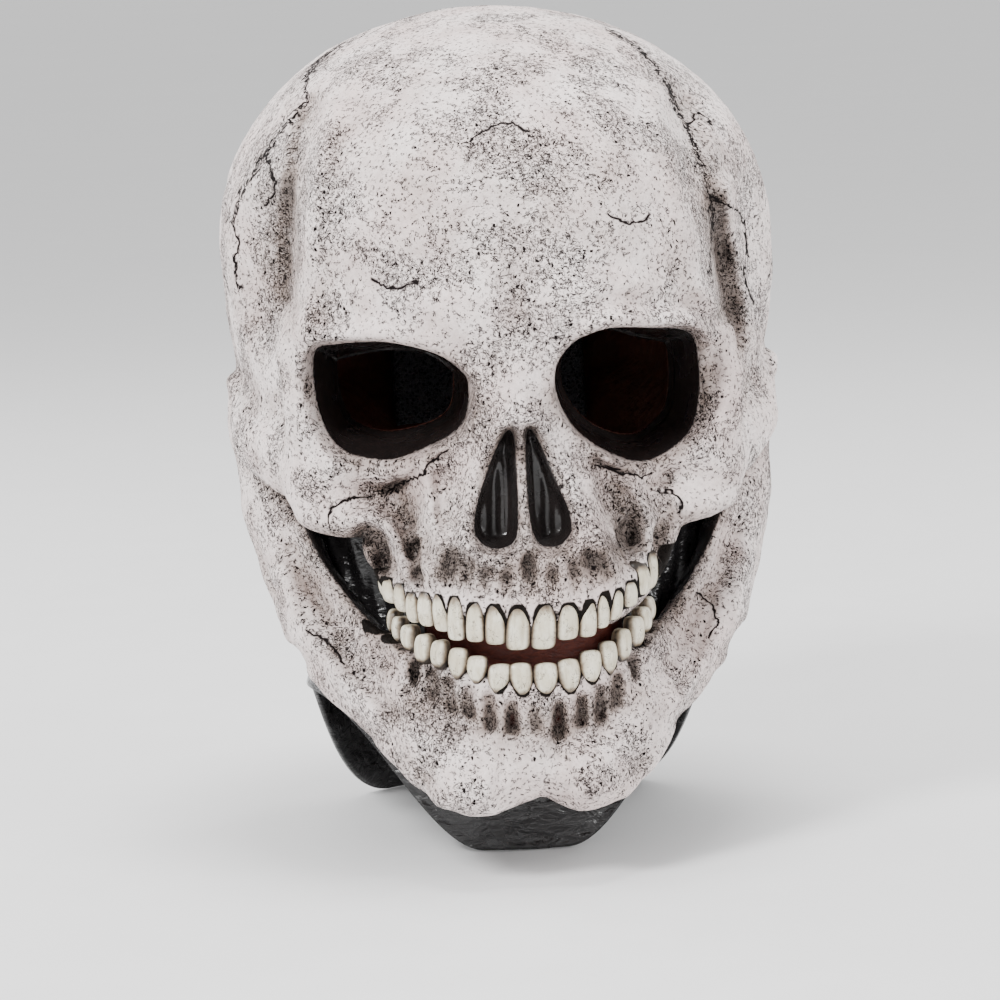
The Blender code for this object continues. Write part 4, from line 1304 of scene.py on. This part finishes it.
def studio_grey(name, shade):
    s = Shader(name, by_object=True)
    colour = s.mix(s.noise(240.0, 3.0), (shade, shade, shade), (shade * 0.97, shade * 0.97, shade * 0.975))
    return s.finish(colour, s.ramp(s.noise(30.0, 3.0), 0.3, 0.7, 0.60, 0.72), ((s.noise(2.0, 2.0), 0.05),))


# ---- the closure at the nape, the room, the light and the camera ----

def build_closure(nodes):
    """The CAD strips with their weaves, and the rows of stitches that hold them."""
    elastic = woven("elastic_web", (0.012, 0.012, 0.013), (0.060, 0.060, 0.064), 1.3)
    for node, look in (("closure_tab", elastic),
                       ("closure_hook_patch", hooks_or_loops("hook_tape", (0.015, 0.015, 0.016),
                                                             (0.09, 0.09, 0.095), 1.2, 0.5)),
                       ("closure_loop_patch", hooks_or_loops("loop_tape", (0.02, 0.02, 0.021),
                                                             (0.07, 0.07, 0.072), 0.9, 0.35))):
        mesh = nodes[node].data
        mesh.materials.clear()
        mesh.materials.append(look)
    low, high = (np.array(corner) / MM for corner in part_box("closure_tab"))
    stitches(low, high, -1, "skull", "tab_anchor_stitches")
    stitches(low, high, 1, "nape_tab", "tab_patch_stitches")


def surface_y(obj, x, z):
    """How far back the outside of an object reaches at (x, z), in millimetres, or None."""
    to_local = obj.matrix_world.inverted()
    start, end = to_local @ Vector((x * MM, 0.2, z * MM)), to_local @ Vector((x * MM, 0.0, z * MM))
    hit, place, _, _ = obj.ray_cast(start, (end - start).normalized())
    return (obj.matrix_world @ place).y / MM if hit else None


def stitches(low, high, side, body, name):
    """A rectangle of thread stitches on the outside of the closure tab."""
    tab = bpy.data.objects["closure_tab"]
    x_in, x_out = side * 7.0, side * (high[0] - 2.2)
    z_low, z_high = low[2] + 2.5, high[2] - 2.5
    corners = [(x_in, z_low), (x_out, z_low), (x_out, z_high), (x_in, z_high), (x_in, z_low)]
    points, faces = [], []
    for (x0, z0), (x1, z1) in zip(corners, corners[1:]):
        length = np.hypot(x1 - x0, z1 - z0)
        count = max(2, round(length / 2.6))
        for i in range(count):
            a, b = (i + 0.14) / count, (i + 0.86) / count
            rings = []
            for t, lift, half in ((0, -0.1, 0.12), (0.25, 0.12, 0.26), (0.75, 0.12, 0.26), (1, -0.1, 0.12)):
                u = a + (b - a) * t
                x, z = x0 + (x1 - x0) * u, z0 + (z1 - z0) * u
                y = surface_y(tab, x, z)
                if y is None:
                    break
                rings.append((x, y + lift, z, half))
            if len(rings) < 4:
                continue
            start = len(points)
            across = np.array([-(z1 - z0), 0, x1 - x0]) / length
            for x, y, z, half in rings:
                for k in range(6):
                    c, s = cos(pi * k / 3), sin(pi * k / 3)
                    points.append((x + across[0] * c * half, y + s * half, z + across[2] * c * half))
            faces += [[start + n for n in f] for f in grid_faces(4, 6, closed=True)]
            faces += [[start + k for k in range(5, -1, -1)], [start + 18 + k for k in range(6)]]
    thread = Shader("thread")
    twist = thread.noise(0.35, 2.0, 0.6)
    thread.finish(thread.mix(twist, (0.10, 0.10, 0.105), (0.20, 0.20, 0.21)), thread.ramp(twist, 0.3, 0.7, 0.5, 0.7),
                  ((twist, 0.1),))
    obj = new_object(name, points, faces, thread.material)
    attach(obj, body)


def area_light(name, place, target, size, power, colour=(1, 1, 1)):
    light = bpy.data.lights.new(name, "AREA")
    light.shape, light.size, light.energy, light.color = "DISK", size, power, colour
    obj = bpy.data.objects.new(name, light)
    obj.location = place
    obj.rotation_euler = (Vector(target) - Vector(place)).to_track_quat("-Z", "Y").to_euler()
    bpy.context.scene.collection.objects.link(obj)


def build_studio():
    size = 40.0
    floor = bpy.data.meshes.new("floor")
    floor.from_pydata([(x * size, y * size, 0.0) for x, y in ((-1, -1), (1, -1), (1, 1), (-1, 1))], [], [(0, 1, 2, 3)])
    floor.materials.append(studio_grey("pale_floor", 0.82))
    obj = bpy.data.objects.new("floor", floor)
    bpy.context.scene.collection.objects.link(obj)
    world = bpy.data.worlds.new("studio")
    world.use_nodes = True
    world.node_tree.nodes["Background"].inputs["Color"].default_value = (1.0, 1.0, 1.0, 1.0)
    world.node_tree.nodes["Background"].inputs["Strength"].default_value = 1.05
    bpy.context.scene.world = world
    middle = (0, -0.03, 0.14)
    area_light("key", (-0.80, -0.95, 1.15), middle, 0.45, 28)
    area_light("fill", (1.1, -0.9, 0.60), middle, 0.6, 9)
    area_light("top", (0.1, -0.10, 1.5), middle, 0.5, 15)
    area_light("rim", (-0.9, 0.9, 0.7), middle, 0.6, 8)
    area_light("rim_right", (0.95, 0.8, 0.7), middle, 0.6, 6)


def build_camera():
    """Far off and slightly above, rolled a little, as the photograph was taken."""
    azimuth, elevation, roll = radians(-3.0), radians(8.0), radians(2.2)
    look_at = Vector((-0.005, -0.060, 0.1185))
    distance = 1.6
    view_width = 0.325     # what the frame is wide at look_at
    sensor = 36.0
    back = Vector((sin(azimuth) * cos(elevation), -cos(azimuth) * cos(elevation), sin(elevation)))
    right = Vector((cos(azimuth), sin(azimuth), 0.0))
    up = back.cross(right)
    x = right * cos(roll) - up * sin(roll)
    y = right * sin(roll) + up * cos(roll)
    camera = bpy.data.cameras.new("camera")
    camera.sensor_width = sensor
    camera.lens = sensor * distance / view_width
    obj = bpy.data.objects.new("camera", camera)
    place = look_at + back * distance
    obj.matrix_world = Matrix(((x.x, y.x, back.x, place.x), (x.y, y.y, back.y, place.y),
                               (x.z, y.z, back.z, place.z), (0, 0, 0, 1)))
    bpy.context.scene.collection.objects.link(obj)
    bpy.context.scene.camera = obj


def main():
    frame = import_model()
    materials = {"bone": bone_paint(), "lining": latex_lining(), "tooth": tooth_latex(), "black": black_latex(),
                 "foam": foam(), "mouth": mouth_shade()}
    build_casting(materials)
    build_teeth(materials)
    build_mouth(materials["mouth"])
    for piece in (cheek_skin(1, materials["black"]), cheek_skin(-1, materials["black"]),
                  build_neck(materials["black"]), build_throat(materials["black"])):
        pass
    for node in ("forehead_pad", "crown_pad", "nape_pad", "temple_pad_left", "temple_pad_right"):
        build_pad(node, "skull", materials["foam"])
    build_pad("chin_cup", "jaw", materials["foam"], 3.0)
    build_closure(frame["nodes"])
    build_studio()
    build_camera()


main()
